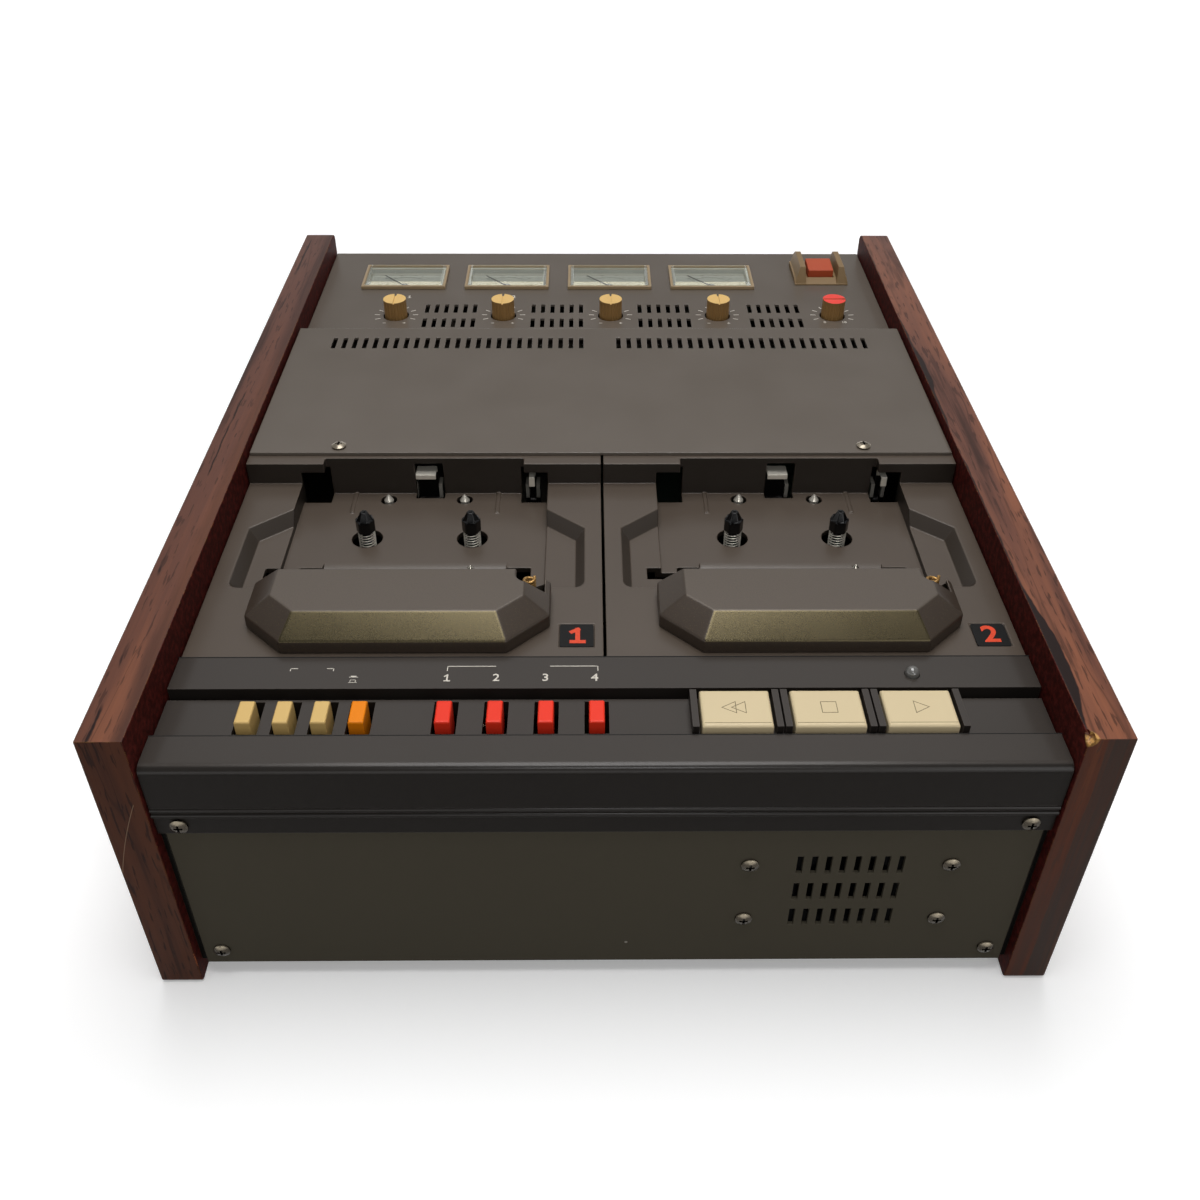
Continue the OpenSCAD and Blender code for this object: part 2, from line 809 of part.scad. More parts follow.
module cassette_well(cx, screw_side) {
  color("#4b443c") translate([cx, 0, 0]) {
    difference() {
      well_body();
      well_hollows(screw_side);
    }
    for (s = [-1, 1])
      box([s * rib_x - rib_w / 2, s * rib_x + rib_w / 2],
          [front + pocket_back - rib_d, front + pocket_back], [pocket_z - eps, pocket_z + rib_h]);
  }
}

// Head cover: a faceted hood with straight skirt, open towards the cassette
module hood_outline(inset, back) {
  slant = inset * (sqrt(2) - 1);
  half = hood_half - inset;
  corner = hood_corner - slant;
  polygon([
    [-half, back], [-half, hood_shoulder + slant], [-corner, hood_front + inset],
    [corner, hood_front + inset], [half, hood_shoulder + slant], [half, back]
  ]);
}

module hood_form(inset, skirt, high, back) {
  linear_extrude(skirt) hood_outline(inset, back);
  hull() {
    translate([0, 0, skirt - eps]) linear_extrude(eps) hood_outline(inset, back);
    translate([0, 0, high - eps]) linear_extrude(eps) hood_outline(inset + hood_run, back);
  }
}

module head_cover(cx) {
  notch_front = hood_back - hood_notch_d;
  translate([cx, front, deck_z]) difference() {
    hood_form(0, hood_skirt, hood_h, hood_back);
    translate([0, 0, -eps]) hood_form(hood_t, hood_skirt - hood_t / 2, hood_h - hood_t, hood_back + over);
    box([hood_notch[0] + hood_notch_r, hood_notch[1]], [notch_front, hood_back + over],
        [hood_notch_z, hood_h + over]);
    box(hood_notch, [notch_front + hood_notch_r, hood_back + over], [hood_notch_z, hood_h + over]);
    translate([hood_notch[0] + hood_notch_r, notch_front + hood_notch_r, hood_notch_z])
      cylinder(r = hood_notch_r, h = hood_h);
  }
}

module head_covers() {
  color("#5b5246") for (x = well_x) head_cover(x);
}

// Slotted cover between the wells and the meters
module cover_plate() {
  z_under = cover_z - sheet_t;
  start = front + pocket_back + cover_lap;
  flange_start = front + ledge_end + panel_gap;
  color("#57514a") difference() {
    union() {
      box([-cover_half, cover_half], [start, cover_end], [z_under, cover_z]);
      box([-cover_half, cover_half], [cover_end - sheet_t, cover_end], [meter_z, z_under + eps]);
      for (s = [-1, 1]) {
        x = s * (cover_half - sheet_t / 2);
        box([x - sheet_t / 2, x + sheet_t / 2], [flange_start, cover_end - sheet_t - panel_gap],
            [meter_under, z_under + eps]);
      }
    }
    for (s = [-1, 1]) {
      slot_row(s * cover_slot_x, cover_end - cover_slot_line, cover_slot_cols, cover_slot_d,
               [z_under - over, cover_z + over]);
      translate([s * cover_screw_x, front + cover_screw_set, z_under - over])
        cylinder(d = screw_hole, h = sheet_t + 2 * over);
    }
  }
}

// Rear deck that holds the meters, the knobs and the power switch
module meter_deck() {
  color("#57514a") difference() {
    union() {
      box([-half_panel, half_panel], [cover_end - sheet_t, rear - rear_set], [meter_under, meter_z]);
      for (x = vent_at)
        translate([x, rear - knob_line, level_board_z + board_t])
          cylinder(d = stud_dia, h = meter_under - level_board_z - board_t + eps);
    }
    for (x = meter_at)
      box([x - meter_w / 2 + meter_rim, x + meter_w / 2 - meter_rim],
          [rear - meter_line - meter_d / 2 + meter_rim, rear - meter_line + meter_d / 2 - meter_rim],
          [meter_under - over, meter_z + over]);
    for (x = knob_at)
      translate([x, rear - knob_line, meter_under - over]) cylinder(d = knob_hole, h = sheet_t + 2 * over);
    for (x = vent_at, dy = vent_rows)
      slot_row(x, rear - knob_line + dy, vent_cols, vent_d, [meter_under - over, meter_z + over]);
    box([monitor_x - switch_hole_w / 2, monitor_x + switch_hole_w / 2],
        [rear - switch_line - switch_hole_d / 2, rear - switch_line + switch_hole_d / 2],
        [meter_under - over, meter_z + over]);
  }
}

// Screws: pan heads with a cross recess, facing the front or the top
module pan_screw() {
  difference() {
    union() {
      translate([0, 0, -screw_len]) cylinder(d = screw_dia, h = screw_len + eps);
      intersection() {
        cylinder(d = screw_head, h = screw_head_h);
        translate([0, 0, screw_head_h - screw_dome_r]) sphere(r = screw_dome_r);
      }
    }
    for (a = [0, 90]) rotate(a) translate([0, 0, screw_head_h])
      cube([screw_cross[0], screw_cross[1], 2 * screw_cross[2]], center = true);
  }
}

module case_screws() {
  color("#5a544c") {
    for (p = front_screws) translate([p[0], front + p[1], p[2]]) rotate([90, 0, 0]) pan_screw();
    for (s = [-1, 1]) translate([s * cover_screw_x, front + cover_screw_set, cover_z]) pan_screw();
  }
}

// Power switch: guard with two ears above the deck, switch body below it
module guard_ears(x, y) {
  ear_x = guard_w / 2;
  intersection() {
    for (s = [0, 1]) translate([x, y + guard_d / 2, meter_z]) mirror([s, 0, 0]) rotate([90, 0, 0])
      linear_extrude(guard_d)
        polygon([[ear_x - guard_ear, 0], [ear_x, 0], [ear_x - guard_lean, guard_h],
                 [ear_x - guard_lean - guard_ear_top, guard_h]]);
    translate([0, y, meter_z]) along_x([x - ear_x, x + ear_x]) difference() {
      polygon([[-guard_d / 2, 0], [guard_d / 2, 0], [guard_d / 2, guard_h],
               [guard_ear_front - guard_d / 2, guard_h]]);
      translate([guard_d / 2, guard_h]) rotate(180) corner_waste(guard_ear_r);
    }
  }
}

module switch_guard() {
  x = monitor_x;
  y = rear - switch_line;
  open_half = rocker_d / 2 + rocker_swing;
  color("#7b6b50") difference() {
    union() {
      translate([0, y, meter_z]) along_x([x - guard_w / 2, x + guard_w / 2])
        polygon([[-guard_d / 2, 0], [guard_d / 2, 0], [guard_d / 2, guard_base_h],
                 [-open_half, guard_base_h], [-guard_d / 2, guard_lip_h]]);
      guard_ears(x, y);
      box([x - switch_body_w / 2, x + switch_body_w / 2], [y - switch_body_d / 2, y + switch_body_d / 2],
          [meter_z - switch_body_h, meter_z + eps]);
    }
    box([x - rocker_w / 2 - move_gap, x + rocker_w / 2 + move_gap], [y - open_half, y + open_half],
        [rocker_pivot_z - rocker_below - rocker_swing, meter_z + guard_h + over]);
    translate([x - switch_body_w, y, rocker_pivot_z]) rotate([0, 90, 0])
      cylinder(d = trunnion_dia + 2 * run_fit, h = 2 * switch_body_w);
  }
}

module power_rocker() {
  x = monitor_x;
  high = meter_z + rocker_top - rocker_pivot_z;
  trunnion = switch_body_w - 2 * move_gap;
  color("#b8431f") translate([x, rear - switch_line, rocker_pivot_z]) rotate([rocker_tilt, 0, 0]) {
    box([-rocker_w / 2, rocker_w / 2], [-rocker_d / 2, rocker_d / 2], [-rocker_below, high]);
    translate([-trunnion / 2, 0, 0]) rotate([0, 90, 0]) cylinder(d = trunnion_dia, h = trunnion);
  }
}

// Meters: moulded case with bezel, clear lens and needle
module meter_case(x) {
  y = rear - meter_line;
  hole = [meter_w / 2 - meter_rim - seat_gap, meter_d / 2 - meter_rim - seat_gap];
  seat = [meter_w / 2 - meter_bezel, meter_d / 2 - meter_bezel];
  dial = seat - [meter_ledge, meter_ledge];
  pivot_y = y - dial[1] + needle_strip / 2;
  difference() {
    union() {
      box([x - hole[0], x + hole[0]], [y - hole[1], y + hole[1]], [meter_z - meter_body_h, meter_z + eps]);
      box([x - meter_w / 2, x + meter_w / 2], [y - meter_d / 2, y + meter_d / 2],
          [meter_z, meter_z + meter_rise]);
    }
    box([x - seat[0], x + seat[0]], [y - seat[1], y + seat[1]], [lens_z, meter_z + meter_rise + over]);
    box([x - dial[0], x + dial[0]], [y - dial[1], y + dial[1]], [dial_z, lens_z + over]);
  }
  box([x - dial[0], x + dial[0]], [y - dial[1], y - dial[1] + needle_strip],
      [dial_z - eps, dial_z + needle_strip_h]);
  translate([x, pivot_y, dial_z]) cylinder(d = needle_pin, h = lens_z - dial_z - move_gap);
}

module meter_cases() {
  color("#8a7a5c") for (x = meter_at) meter_case(x);
}

module meter_lens(x) {
  half_w = meter_w / 2 - meter_bezel - seat_gap;
  half_d = meter_d / 2 - meter_bezel - seat_gap;
  edge_h = meter_z + meter_rise - lens_z;
  translate([x, rear - meter_line, lens_z]) hull() {
    box([-half_w, half_w], [-half_d, half_d], [0, edge_h]);
    box([lens_bevel - half_w, half_w - lens_bevel], [lens_bevel - half_d, half_d - lens_bevel],
        [0, lens_rise]);
  }
}

module meter_lenses() {
  color("#c9cdc2") for (x = meter_at) meter_lens(x);
}

module meter_needle(x) {
  pivot_y = rear - meter_line - meter_d / 2 + meter_bezel + meter_ledge + needle_strip / 2;
  z = dial_z + needle_strip_h + move_gap;
  color("black") translate([x, pivot_y, z]) rotate(needle_rest) difference() {
    union() {
      cylinder(d = needle_hub, h = needle_hub_h);
      box([-needle_w / 2, needle_w / 2], [-needle_tail, needle_len], [0, needle_t]);
    }
    translate([0, 0, -over]) cylinder(d = needle_pin + 2 * run_fit, h = needle_hub_h + 2 * over);
  }
}

// Knobs: fluted sides, smooth cap with a slot across it that ends in a pointer notch
module knob(x, turn) {
  low = meter_z - knob_below;
  high = meter_z + knob_h;
  bore_h = high - low - knob_crown;
  translate([x, rear - knob_line, 0]) rotate(turn) difference() {
    union() {
      translate([0, 0, low]) linear_extrude(high - knob_cap_h - low) difference() {
        circle(d = knob_dia);
        for (i = [0:knob_flutes - 1]) rotate(i * 360 / knob_flutes)
          translate([knob_dia / 2 + flute_r / 2, 0]) circle(flute_r);
      }
      translate([0, 0, high - knob_cap_h - eps]) cylinder(d = knob_dia, h = knob_cap_h + eps);
    }
    translate([0, 0, low - over]) cylinder(d = pot_shaft + 2 * run_fit, h = bore_h + over);
    box([-knob_slot[0] / 2, knob_slot[0] / 2], [-knob_dia, knob_dia], [high - knob_slot[1], high + over]);
    box([-knob_notch[0] / 2, knob_notch[0] / 2], [knob_dia / 2 - knob_notch[1], knob_dia],
        [high - knob_notch[1], high + over]);
  }
}

module level_knob(x) {
  color("goldenrod") knob(x, 0);
}

module monitor_knob() {
  color("orangered") knob(monitor_x, monitor_turn);
}

// Transport keys and push buttons, each on a stem that slides in its switch
module soft_cap(x, y, z, chamfer) {
  hull() {
    box(x, y, [z[0], z[1] - chamfer]);
    box(x + [chamfer, -chamfer], y + [chamfer, -chamfer], z);
  }
}

module transport_key(k) {
  x = key_x + k * key_pitch;
  y = front + key_set;
  low = switch_top + key_travel + move_gap;
  color("#e4dcbd") {
    soft_cap([x - key_w / 2, x + key_w / 2], [y, y + key_d], [low, key_z], key_chamfer);
    stem(x, y + key_d / 2, low, key_travel);
  }
}

module push_button(x) {
  y = front + button_set;
  low = switch_top + button_travel + move_gap;
  soft_cap([x - button_w / 2, x + button_w / 2], [y, y + button_d], [low, key_z], button_chamfer);
  stem(x, y + button_d / 2, low, button_travel);
}

module stem(x, y, high, travel) {
  low = switch_board_z + board_t + switch_floor + travel + move_gap;
  box([x - stem_w / 2, x + stem_w / 2], [y - stem_w / 2, y + stem_w / 2], [low, high + eps]);
}

module option_button(i) {
  color(i < 3 ? "#d8c283" : "#e58a1c") push_button(button_at[i]);
}

module record_button(i) {
  color("#d92b22") push_button(button_at[4 + i]);
}

// Boards: switches under the keys, level controls under the knobs, electronics on the pan
module switch_body(x, y) {
  low = switch_board_z + board_t;
  well = stem_w / 2 + move_gap;
  difference() {
    box([x - switch_w / 2, x + switch_w / 2], [y - switch_w / 2, y + switch_w / 2], [low - eps, switch_top]);
    box([x - well, x + well], [y - well, y + well], [low + switch_floor, switch_top + over]);
  }
}

module switch_board() {
  half = half_panel - switch_board_in;
  box([-half, half], [front + switch_board_set[0], front + switch_board_set[1]],
      [switch_board_z, switch_board_z + board_t]);
  for (x = button_at) switch_body(x, front + button_set + button_d / 2);
  for (k = [-1:1]) switch_body(key_x + k * key_pitch, front + key_set + key_d / 2);
}

module level_board() {
  top = level_board_z + board_t;
  shaft_top = meter_z + knob_h - knob_crown - move_gap;
  box([meter_at[0] - level_board_over, monitor_x + level_board_over],
      [rear - knob_line - level_board_half, rear - knob_line + level_board_half], [level_board_z, top]);
  for (x = knob_at) translate([x, rear - knob_line, top - eps]) {
    cylinder(d = pot_dia, h = pot_h);
    cylinder(d = pot_shaft, h = shaft_top - top + eps);
  }
}

module main_board() {
  top = main_board_z + board_t - eps;
  box(main_board_x, main_board_y, [main_board_z, main_board_z + board_t]);
  for (x = capacitor_x) translate([x, capacitor_y, top]) cylinder(d = capacitor_dia, h = capacitor_h);
  box(heatsink_x, heatsink_y, [top, top + heatsink_h]);
  for (x = chip_x) box([x, x + chip_w], chip_y, [top, top + chip_h]);
}

module circuit_boards() {
  color("#6b7a3a") {
    switch_board();
    level_board();
    main_board();
  }
}

// Transport plate of one deck with what is riveted to it, the posts of the motor under it
// and the sleeve that the capstan runs in
module lever_ears(x, w) {
  out = w / 2 + move_gap;
  for (s = [-1, 1]) {
    ear = x + s * (out + lever_ear_t / 2);
    box([ear - lever_ear_t / 2, ear + lever_ear_t / 2],
        [front + lever_set - lever_ear_set[0], front + lever_set + lever_ear_set[1]],
        [plate_z - eps, lever_ear_top]);
  }
  translate([x - out - eps, front + lever_set, lever_z]) rotate([0, 90, 0])
    cylinder(d = lever_pin, h = 2 * out + 2 * eps);
}

module rest_pin(x) {
  straight = pocket_z - plate_z;
  translate([x, front + rest_set, plate_z - eps]) {
    cylinder(d = rest_dia, h = straight);
    translate([0, 0, straight - eps]) cylinder(d1 = rest_dia, d2 = rest_point, h = rest_cone_h);
  }
}

module guide_post(x) {
  collar = bridge_z - move_gap - plate_z;
  shank = collar + bridge_t + 2 * move_gap;
  translate([x, front + guide_set, plate_z - eps]) {
    cylinder(d = guide_head, h = collar);
    cylinder(d = guide_dia, h = shank + guide_head_h);
    translate([0, 0, shank]) cylinder(d = guide_head, h = guide_head_h);
  }
}

module arm_post() {
  translate([arm_post_x, front + arm_post_set, plate_z - eps])
    cylinder(d = arm_post_dia, h = arm_post_top - plate_z);
}

module motor_posts(low, high) {
  for (a = motor_post_at)
    translate([capstan_x + motor_post_r * cos(a), front + capstan_y + motor_post_r * sin(a), low])
      cylinder(d = motor_post_dia, h = high - low);
}

module bearing_sleeve(high) {
  translate([capstan_x, front + capstan_y, high - sleeve_h]) difference() {
    cylinder(d = sleeve_dia, h = sleeve_h);
    translate([0, 0, -over]) cylinder(d = capstan_dia + 2 * run_fit, h = sleeve_h + 2 * over);
  }
}

module transport_plate(cx) {
  under = plate_z - plate_t;
  translate([cx, 0, 0]) difference() {
    union() {
      box([-plate_half, plate_half], [front + plate_set, front + plate_end], [under, plate_z]);
      arm_post();
      for (s = [-1, 1]) {
        rest_pin(s * rest_x);
        guide_post(s * guide_x);
      }
      lever_ears(hold_x, hold_w);
      lever_ears(tab_x, tab_w);
    }
    translate([capstan_x, front + capstan_y, under - over])
      cylinder(d = capstan_dia + 2 * run_fit, h = plate_t + 2 * over);
    for (s = [-1, 1]) translate([s * spindle_pitch / 2, front + spindle_line, under - over])
      cylinder(d = drive_shaft + 2 * run_fit, h = plate_t + 2 * over);
  }
  translate([cx, 0, 0]) {
    motor_posts(motor_z, under - butt_gap);
    bearing_sleeve(under - butt_gap);
  }
}

module transport_plates() {
  color("silver") for (x = well_x) transport_plate(x);
}

// Motors: one on each spindle, and a flat one under each flywheel
module reel_motor(x) {
  translate([x, front + spindle_line, plate_z - plate_t - reel_motor_h]) difference() {
    cylinder(d = reel_motor_dia, h = reel_motor_h);
    translate([0, 0, reel_motor_h - drive_len]) cylinder(d = drive_shaft + 2 * run_fit, h = drive_len + over);
  }
}

module capstan_motor(cx) {
  translate([cx + capstan_x, front + capstan_y, motor_z - motor_flange_t]) difference() {
    union() {
      cylinder(r = motor_flange_r, h = motor_flange_t);
      translate([0, 0, -motor_h]) cylinder(d = motor_dia, h = motor_h + eps);
    }
    translate([0, 0, motor_flange_t - capstan_foot])
      cylinder(d = capstan_dia + 2 * run_fit, h = capstan_foot + over);
  }
}

module deck_motors() {
  color("gray") {
    for (x = spindle_at) reel_motor(x);
    for (x = well_x) capstan_motor(x);
  }
}

// Spindles: driven hub, sprung six-sided tip and the spring between them
module reel_spindle(x) {
  color("dimgray") translate([x, front + spindle_line, 0]) {
    translate([0, 0, hub_z]) cylinder(d = hub_dia, h = spring_seat_z - hub_z);
    translate([0, 0, hub_z - drive_len]) cylinder(d = drive_shaft, h = drive_len + eps);
    translate([0, 0, spring_seat_z - eps])
      cylinder(d = spindle_shaft, h = tip_z + tip_bore - tip_travel - 2 * move_gap - spring_seat_z);
  }
}

module spindle_tip(x) {
  straight = tip_h - tip_cone_h;
  color("#111111") translate([x, front + spindle_line, tip_z]) difference() {
    union() {
      intersection() {
        cylinder(d = tip_dia, h = straight);
        cylinder(d = tip_hex, h = straight, $fn = 6);
      }
      translate([0, 0, straight - eps]) intersection() {
        cylinder(d1 = tip_dia, d2 = tip_end_dia, h = tip_cone_h + eps);
        cylinder(d1 = tip_hex, d2 = tip_end_dia, h = tip_cone_h + eps, $fn = 6);
      }
    }
    translate([0, 0, -over]) cylinder(d = spindle_shaft + 2 * run_fit, h = tip_bore + over);
    translate([0, 0, tip_h - tip_dimple[1]]) cylinder(d = tip_dimple[0], h = tip_dimple[1] + over);
  }
}

// Spring: one tube along a helix, straight for one wire diameter at either end
function helix_point(i) =
  let (a = 360 * i / curl_rings)
  [spring_dia / 2 * cos(a), spring_dia / 2 * sin(a), helix_low + helix_pitch * i / curl_rings];
spring_line = concat(
  [helix_point(0) - [0, 0, wire_dia]],
  [for (i = [0:helix_steps]) helix_point(i)],
  [helix_point(helix_steps) + [0, 0, wire_dia]]
);
line_last = len(spring_line) - 1;

function unit(v) = v / norm(v);
function heading(i) = unit(spring_line[min(i + 1, line_last)] - spring_line[max(i - 1, 0)]);
function outward(i) = unit([spring_line[i][0], spring_line[i][1], 0]);
spring_points = [
  for (i = [0:line_last]) for (k = [0:wire_sides - 1])
    let (a = 360 * k / wire_sides)
    spring_line[i] + wire_dia / 2 * (cos(a) * outward(i) + sin(a) * cross(heading(i), outward(i)))
];
spring_sides = [
  for (i = [0:line_last - 1]) for (k = [0:wire_sides - 1])
    let (here = i * wire_sides, there = here + wire_sides, next = (k + 1) % wire_sides)
    each [[here + k, there + k, there + next], [here + k, there + next, here + next]]
];
spring_caps = [
  for (k = [1:wire_sides - 2])
    let (top = line_last * wire_sides)
    each [[0, k, k + 1], [top, top + k + 1, top + k]]
];
spring_self_gap = min([
  for (i = [1:line_last - 1]) for (j = [i + curl_rings / 2:1:line_last - 1])
    norm(spring_line[i] - spring_line[j]) - wire_dia
]);
echo(spring_self_gap = spring_self_gap);

module tip_springs() {
  color("silver") for (x = spindle_at) translate([x, front + spindle_line, 0])
    polyhedron(spring_points, concat(spring_sides, spring_caps));
}

// Capstan with its flywheel
module flywheel_profile() {
  difference() {
    square([flywheel_dia / 2, flywheel_h]);
    translate([flywheel_dia / 2 - belt_groove, belt_edge])
      square([2 * belt_groove, flywheel_h - 2 * belt_edge]);
    translate([flywheel_dish[0], flywheel_h - dish_drop])
      square([flywheel_dish[1] - flywheel_dish[0], 2 * dish_drop]);
  }
}

module capstan(cx) {
  low = motor_z - capstan_foot + move_gap;
  color("lightgray") translate([cx + capstan_x, front + capstan_y, 0]) {
    translate([0, 0, low]) cylinder(d = capstan_dia, h = capstan_top - capstan_cone_h - low + eps);
    translate([0, 0, capstan_top - capstan_cone_h])
      cylinder(d1 = capstan_dia, d2 = capstan_point, h = capstan_cone_h);
    translate([0, 0, flywheel_z]) rotate_extrude() flywheel_profile();
  }
}

// Head bridge: sliding plate with the heads and the pin of the pinch roller
module tape_head(x, w, high) {
  y = front + bridge_end;
  translate([x, 0, 0]) intersection() {
    box([-w / 2, w / 2], [y - head_d, y], [bridge_z + bridge_t - eps, high]);
    translate([0, y - w, bridge_z]) cylinder(r = w, h = high);
  }
}

module head_bridge(cx) {
  top = bridge_z + bridge_t;
  notch = capstan_dia / 2 + bridge_notch;
  notch_front = front + capstan_y - capstan_dia / 2 - bridge_travel - 2 * move_gap;
  slot_half = guide_dia / 2 + move_gap;
  color("#b9b4a8") translate([cx, 0, 0]) {
    difference() {
      box(bridge_x, [front + bridge_set, front + bridge_end], [bridge_z, top]);
      box([capstan_x - notch, capstan_x + notch], [notch_front, front + bridge_end + over],
          [bridge_z - over, top + over]);
      for (s = [-1, 1])
        box([s * guide_x - slot_half, s * guide_x + slot_half],
            [front + guide_set - slot_half - bridge_travel, front + guide_set + slot_half],
            [bridge_z - over, top + over]);
    }
    tape_head(0, head_w, head_top);
    tape_head(-erase_x, erase_w, erase_top);
    translate([capstan_x, front + roller_set, top - eps]) cylinder(d = roller_pin, h = roller_pin_top - top);
  }
}

module pinch_roller(cx) {
  color("#222222") translate([cx + capstan_x, front + roller_set, roller_z]) difference() {
    cylinder(d = roller_dia, h = roller_h);
    translate([0, 0, -over]) cylinder(d = roller_pin + 2 * run_fit, h = roller_h + 2 * over);
  }
}

// Levers that reach through the windows behind the pocket
module lever_profile(lip_set, lip_low, lip_high) {
  difference() {
    union() {
      translate([lever_set, lever_z]) circle(d = lever_eye);
      translate([lever_set - lever_t / 2, lever_z]) square([lever_t, lip_high - lever_z]);
      translate([lip_set, lip_high - lever_t]) square([lever_set - lip_set, lever_t]);
      translate([lip_set, lip_low]) square([lever_t, lip_high - lip_low]);
    }
    translate([lever_set, lever_z]) circle(d = lever_pin + 2 * run_fit);
  }
}

module hold_down(cx) {
  color("silver") translate([cx, front, 0]) along_x([hold_x - hold_w / 2, hold_x + hold_w / 2])
    lever_profile(hold_lip_set, hold_lip_z - hold_lip_h, hold_lip_z);
}

module tab_lever(cx) {
  color("silver") translate([cx, front, 0]) along_x([tab_x - tab_w / 2, tab_x + tab_w / 2])
    lever_profile(tab_nose_set, tab_nose_z[0], tab_nose_z[1]);
}

// Mains transformer on the pan, laminations with the winding through them
module transformer() {
  half_w = core_w / 2;
  half_d = core_d / 2;
  color("#5f4b38") translate([-half_in + core_in, rear - core_line, pan_z]) {
    box([-half_w - core_foot, half_w + core_foot], [-half_d, half_d], [0, core_foot_t]);
    box([-half_w, half_w], [-half_d, half_d], [core_foot_t - eps, core_h]);
    box([core_limb - half_w, half_w - core_limb], [-half_d - core_limb, half_d + core_limb],
        [core_foot_t + core_limb, core_h - core_limb]);
  }
}

// Mains inlet in the rear wall, a plain socket with a pair of pins
module power_inlet() {
  half_w = inlet_w / 2 - seat_gap;
  half_h = inlet_h / 2 - seat_gap;
  back = rear - inlet_d;
  color("#1c1c1c") translate([inlet_x, 0, inlet_z]) {
    difference() {
      union() {
        box([-half_w - inlet_lip, half_w + inlet_lip], [rear - rear_set, rear],
            [-half_h - inlet_lip, half_h + inlet_lip]);
        box([-half_w, half_w], [back, rear - rear_set + eps], [-half_h, half_h]);
      }
      box([inlet_wall - half_w, half_w - inlet_wall], [back + inlet_wall, rear + over],
          [inlet_wall - half_h, half_h - inlet_wall]);
    }
    for (s = [-1, 1])
      translate([s * inlet_pin_x, rear - inlet_pin_set, 0]) rotate([90, 0, 0])
        cylinder(d = inlet_pin, h = inlet_d - inlet_pin_set - inlet_wall + eps);
  }
}

// Monitor loudspeaker behind the front grille
module monitor_speaker() {
  frame = [speaker_screw[0] + speaker_rim, speaker_screw[1] + speaker_rim];
  basket = 2 * frame[1] - speaker_rim / 2;
  mouth = basket - speaker_rim / 2;
  color("#30302e") translate([speaker_x, front + pan_set, speaker_z]) rotate([-90, 0, 0]) difference() {
    union() {
      box([-frame[0], frame[0]], [-frame[1], frame[1]], [0, sheet_t]);
      translate([0, 0, sheet_t - eps]) cylinder(d1 = basket, d2 = magnet_dia, h = basket_h);
      translate([0, 0, sheet_t + basket_h - 2 * eps]) cylinder(d = magnet_dia, h = magnet_h);
    }
    translate([0, 0, -eps]) cylinder(d1 = mouth, d2 = magnet_dia / 2, h = basket_h);
    for (sx = [-1, 1], sy = [-1, 1])
      translate([sx * speaker_screw[0], sy * speaker_screw[1], -over])
        cylinder(d = screw_hole, h = sheet_t + 2 * over);
  }
}

side_cheeks();
chassis_pan();
front_panel();
fascia();
cassette_well(well_x[0], -1);  // master_well
cassette_well(well_x[1], 1);  // slave_well
cover_plate();
meter_deck();
head_covers();
case_screws();
switch_guard();
indicator_lamp();
meter_cases();
meter_lenses();
circuit_boards();
transport_plates();
deck_motors();
transformer();
power_inlet();
monitor_speaker();
monitor_knob();
power_rocker();
tip_springs();
for (i = [0:3]) {
  level_knob(knob_at[i]);
  meter_needle(meter_at[i]);
  option_button(i);
  record_button(i);
  reel_spindle(spindle_at[i]);
  spindle_tip(spindle_at[i]);
}
for (i = [0:2])
  transport_key(i - 1);
for (i = [0:1]) {
  capstan(well_x[i]);
  head_bridge(well_x[i]);
  pinch_roller(well_x[i]);
  hold_down(well_x[i]);
  tab_lever(well_x[i]);
}
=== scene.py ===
"""Looks of the cassette duplicator: finishes, printed marks, small fittings and the stage."""

import json
import math

import bpy
from mathutils import Matrix, Vector

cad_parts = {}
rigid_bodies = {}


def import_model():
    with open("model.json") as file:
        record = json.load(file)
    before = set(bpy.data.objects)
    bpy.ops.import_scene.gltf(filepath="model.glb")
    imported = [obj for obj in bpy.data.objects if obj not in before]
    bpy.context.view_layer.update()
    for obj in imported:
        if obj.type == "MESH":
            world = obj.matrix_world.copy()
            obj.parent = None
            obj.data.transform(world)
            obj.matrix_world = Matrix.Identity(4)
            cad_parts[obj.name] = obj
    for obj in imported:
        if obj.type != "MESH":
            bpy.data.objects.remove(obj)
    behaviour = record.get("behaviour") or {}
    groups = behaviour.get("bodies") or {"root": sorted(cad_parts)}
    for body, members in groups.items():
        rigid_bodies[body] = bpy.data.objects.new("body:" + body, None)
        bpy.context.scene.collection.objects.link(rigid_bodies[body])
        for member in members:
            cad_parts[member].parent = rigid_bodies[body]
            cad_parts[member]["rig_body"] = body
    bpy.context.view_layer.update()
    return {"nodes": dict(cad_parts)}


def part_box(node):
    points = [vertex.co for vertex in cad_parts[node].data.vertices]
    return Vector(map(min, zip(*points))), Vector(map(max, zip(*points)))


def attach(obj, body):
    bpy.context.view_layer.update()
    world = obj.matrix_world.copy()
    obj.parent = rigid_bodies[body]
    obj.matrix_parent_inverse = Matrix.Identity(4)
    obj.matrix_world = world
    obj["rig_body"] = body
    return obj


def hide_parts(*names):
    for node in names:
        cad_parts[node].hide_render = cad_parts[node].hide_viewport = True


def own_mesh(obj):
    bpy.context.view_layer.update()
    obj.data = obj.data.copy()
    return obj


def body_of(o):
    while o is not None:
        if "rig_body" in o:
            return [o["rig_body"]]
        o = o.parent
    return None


bl_info = {
    "name": "Cassette duplicator looks",
    "version": (1, 0, 0),
    "blender": (4, 5, 0),
    "location": "3D View > Sidebar > Duplicator",
    "description": "Finishes, printed marks, small fittings and stage of a cassette duplicator",
    "category": "Object",
}

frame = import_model()

MM = 0.001
CASE = "case"


def four(name):
    """The names of four like nodes."""
    return [f"{name}_{i}" for i in range(1, 5)]


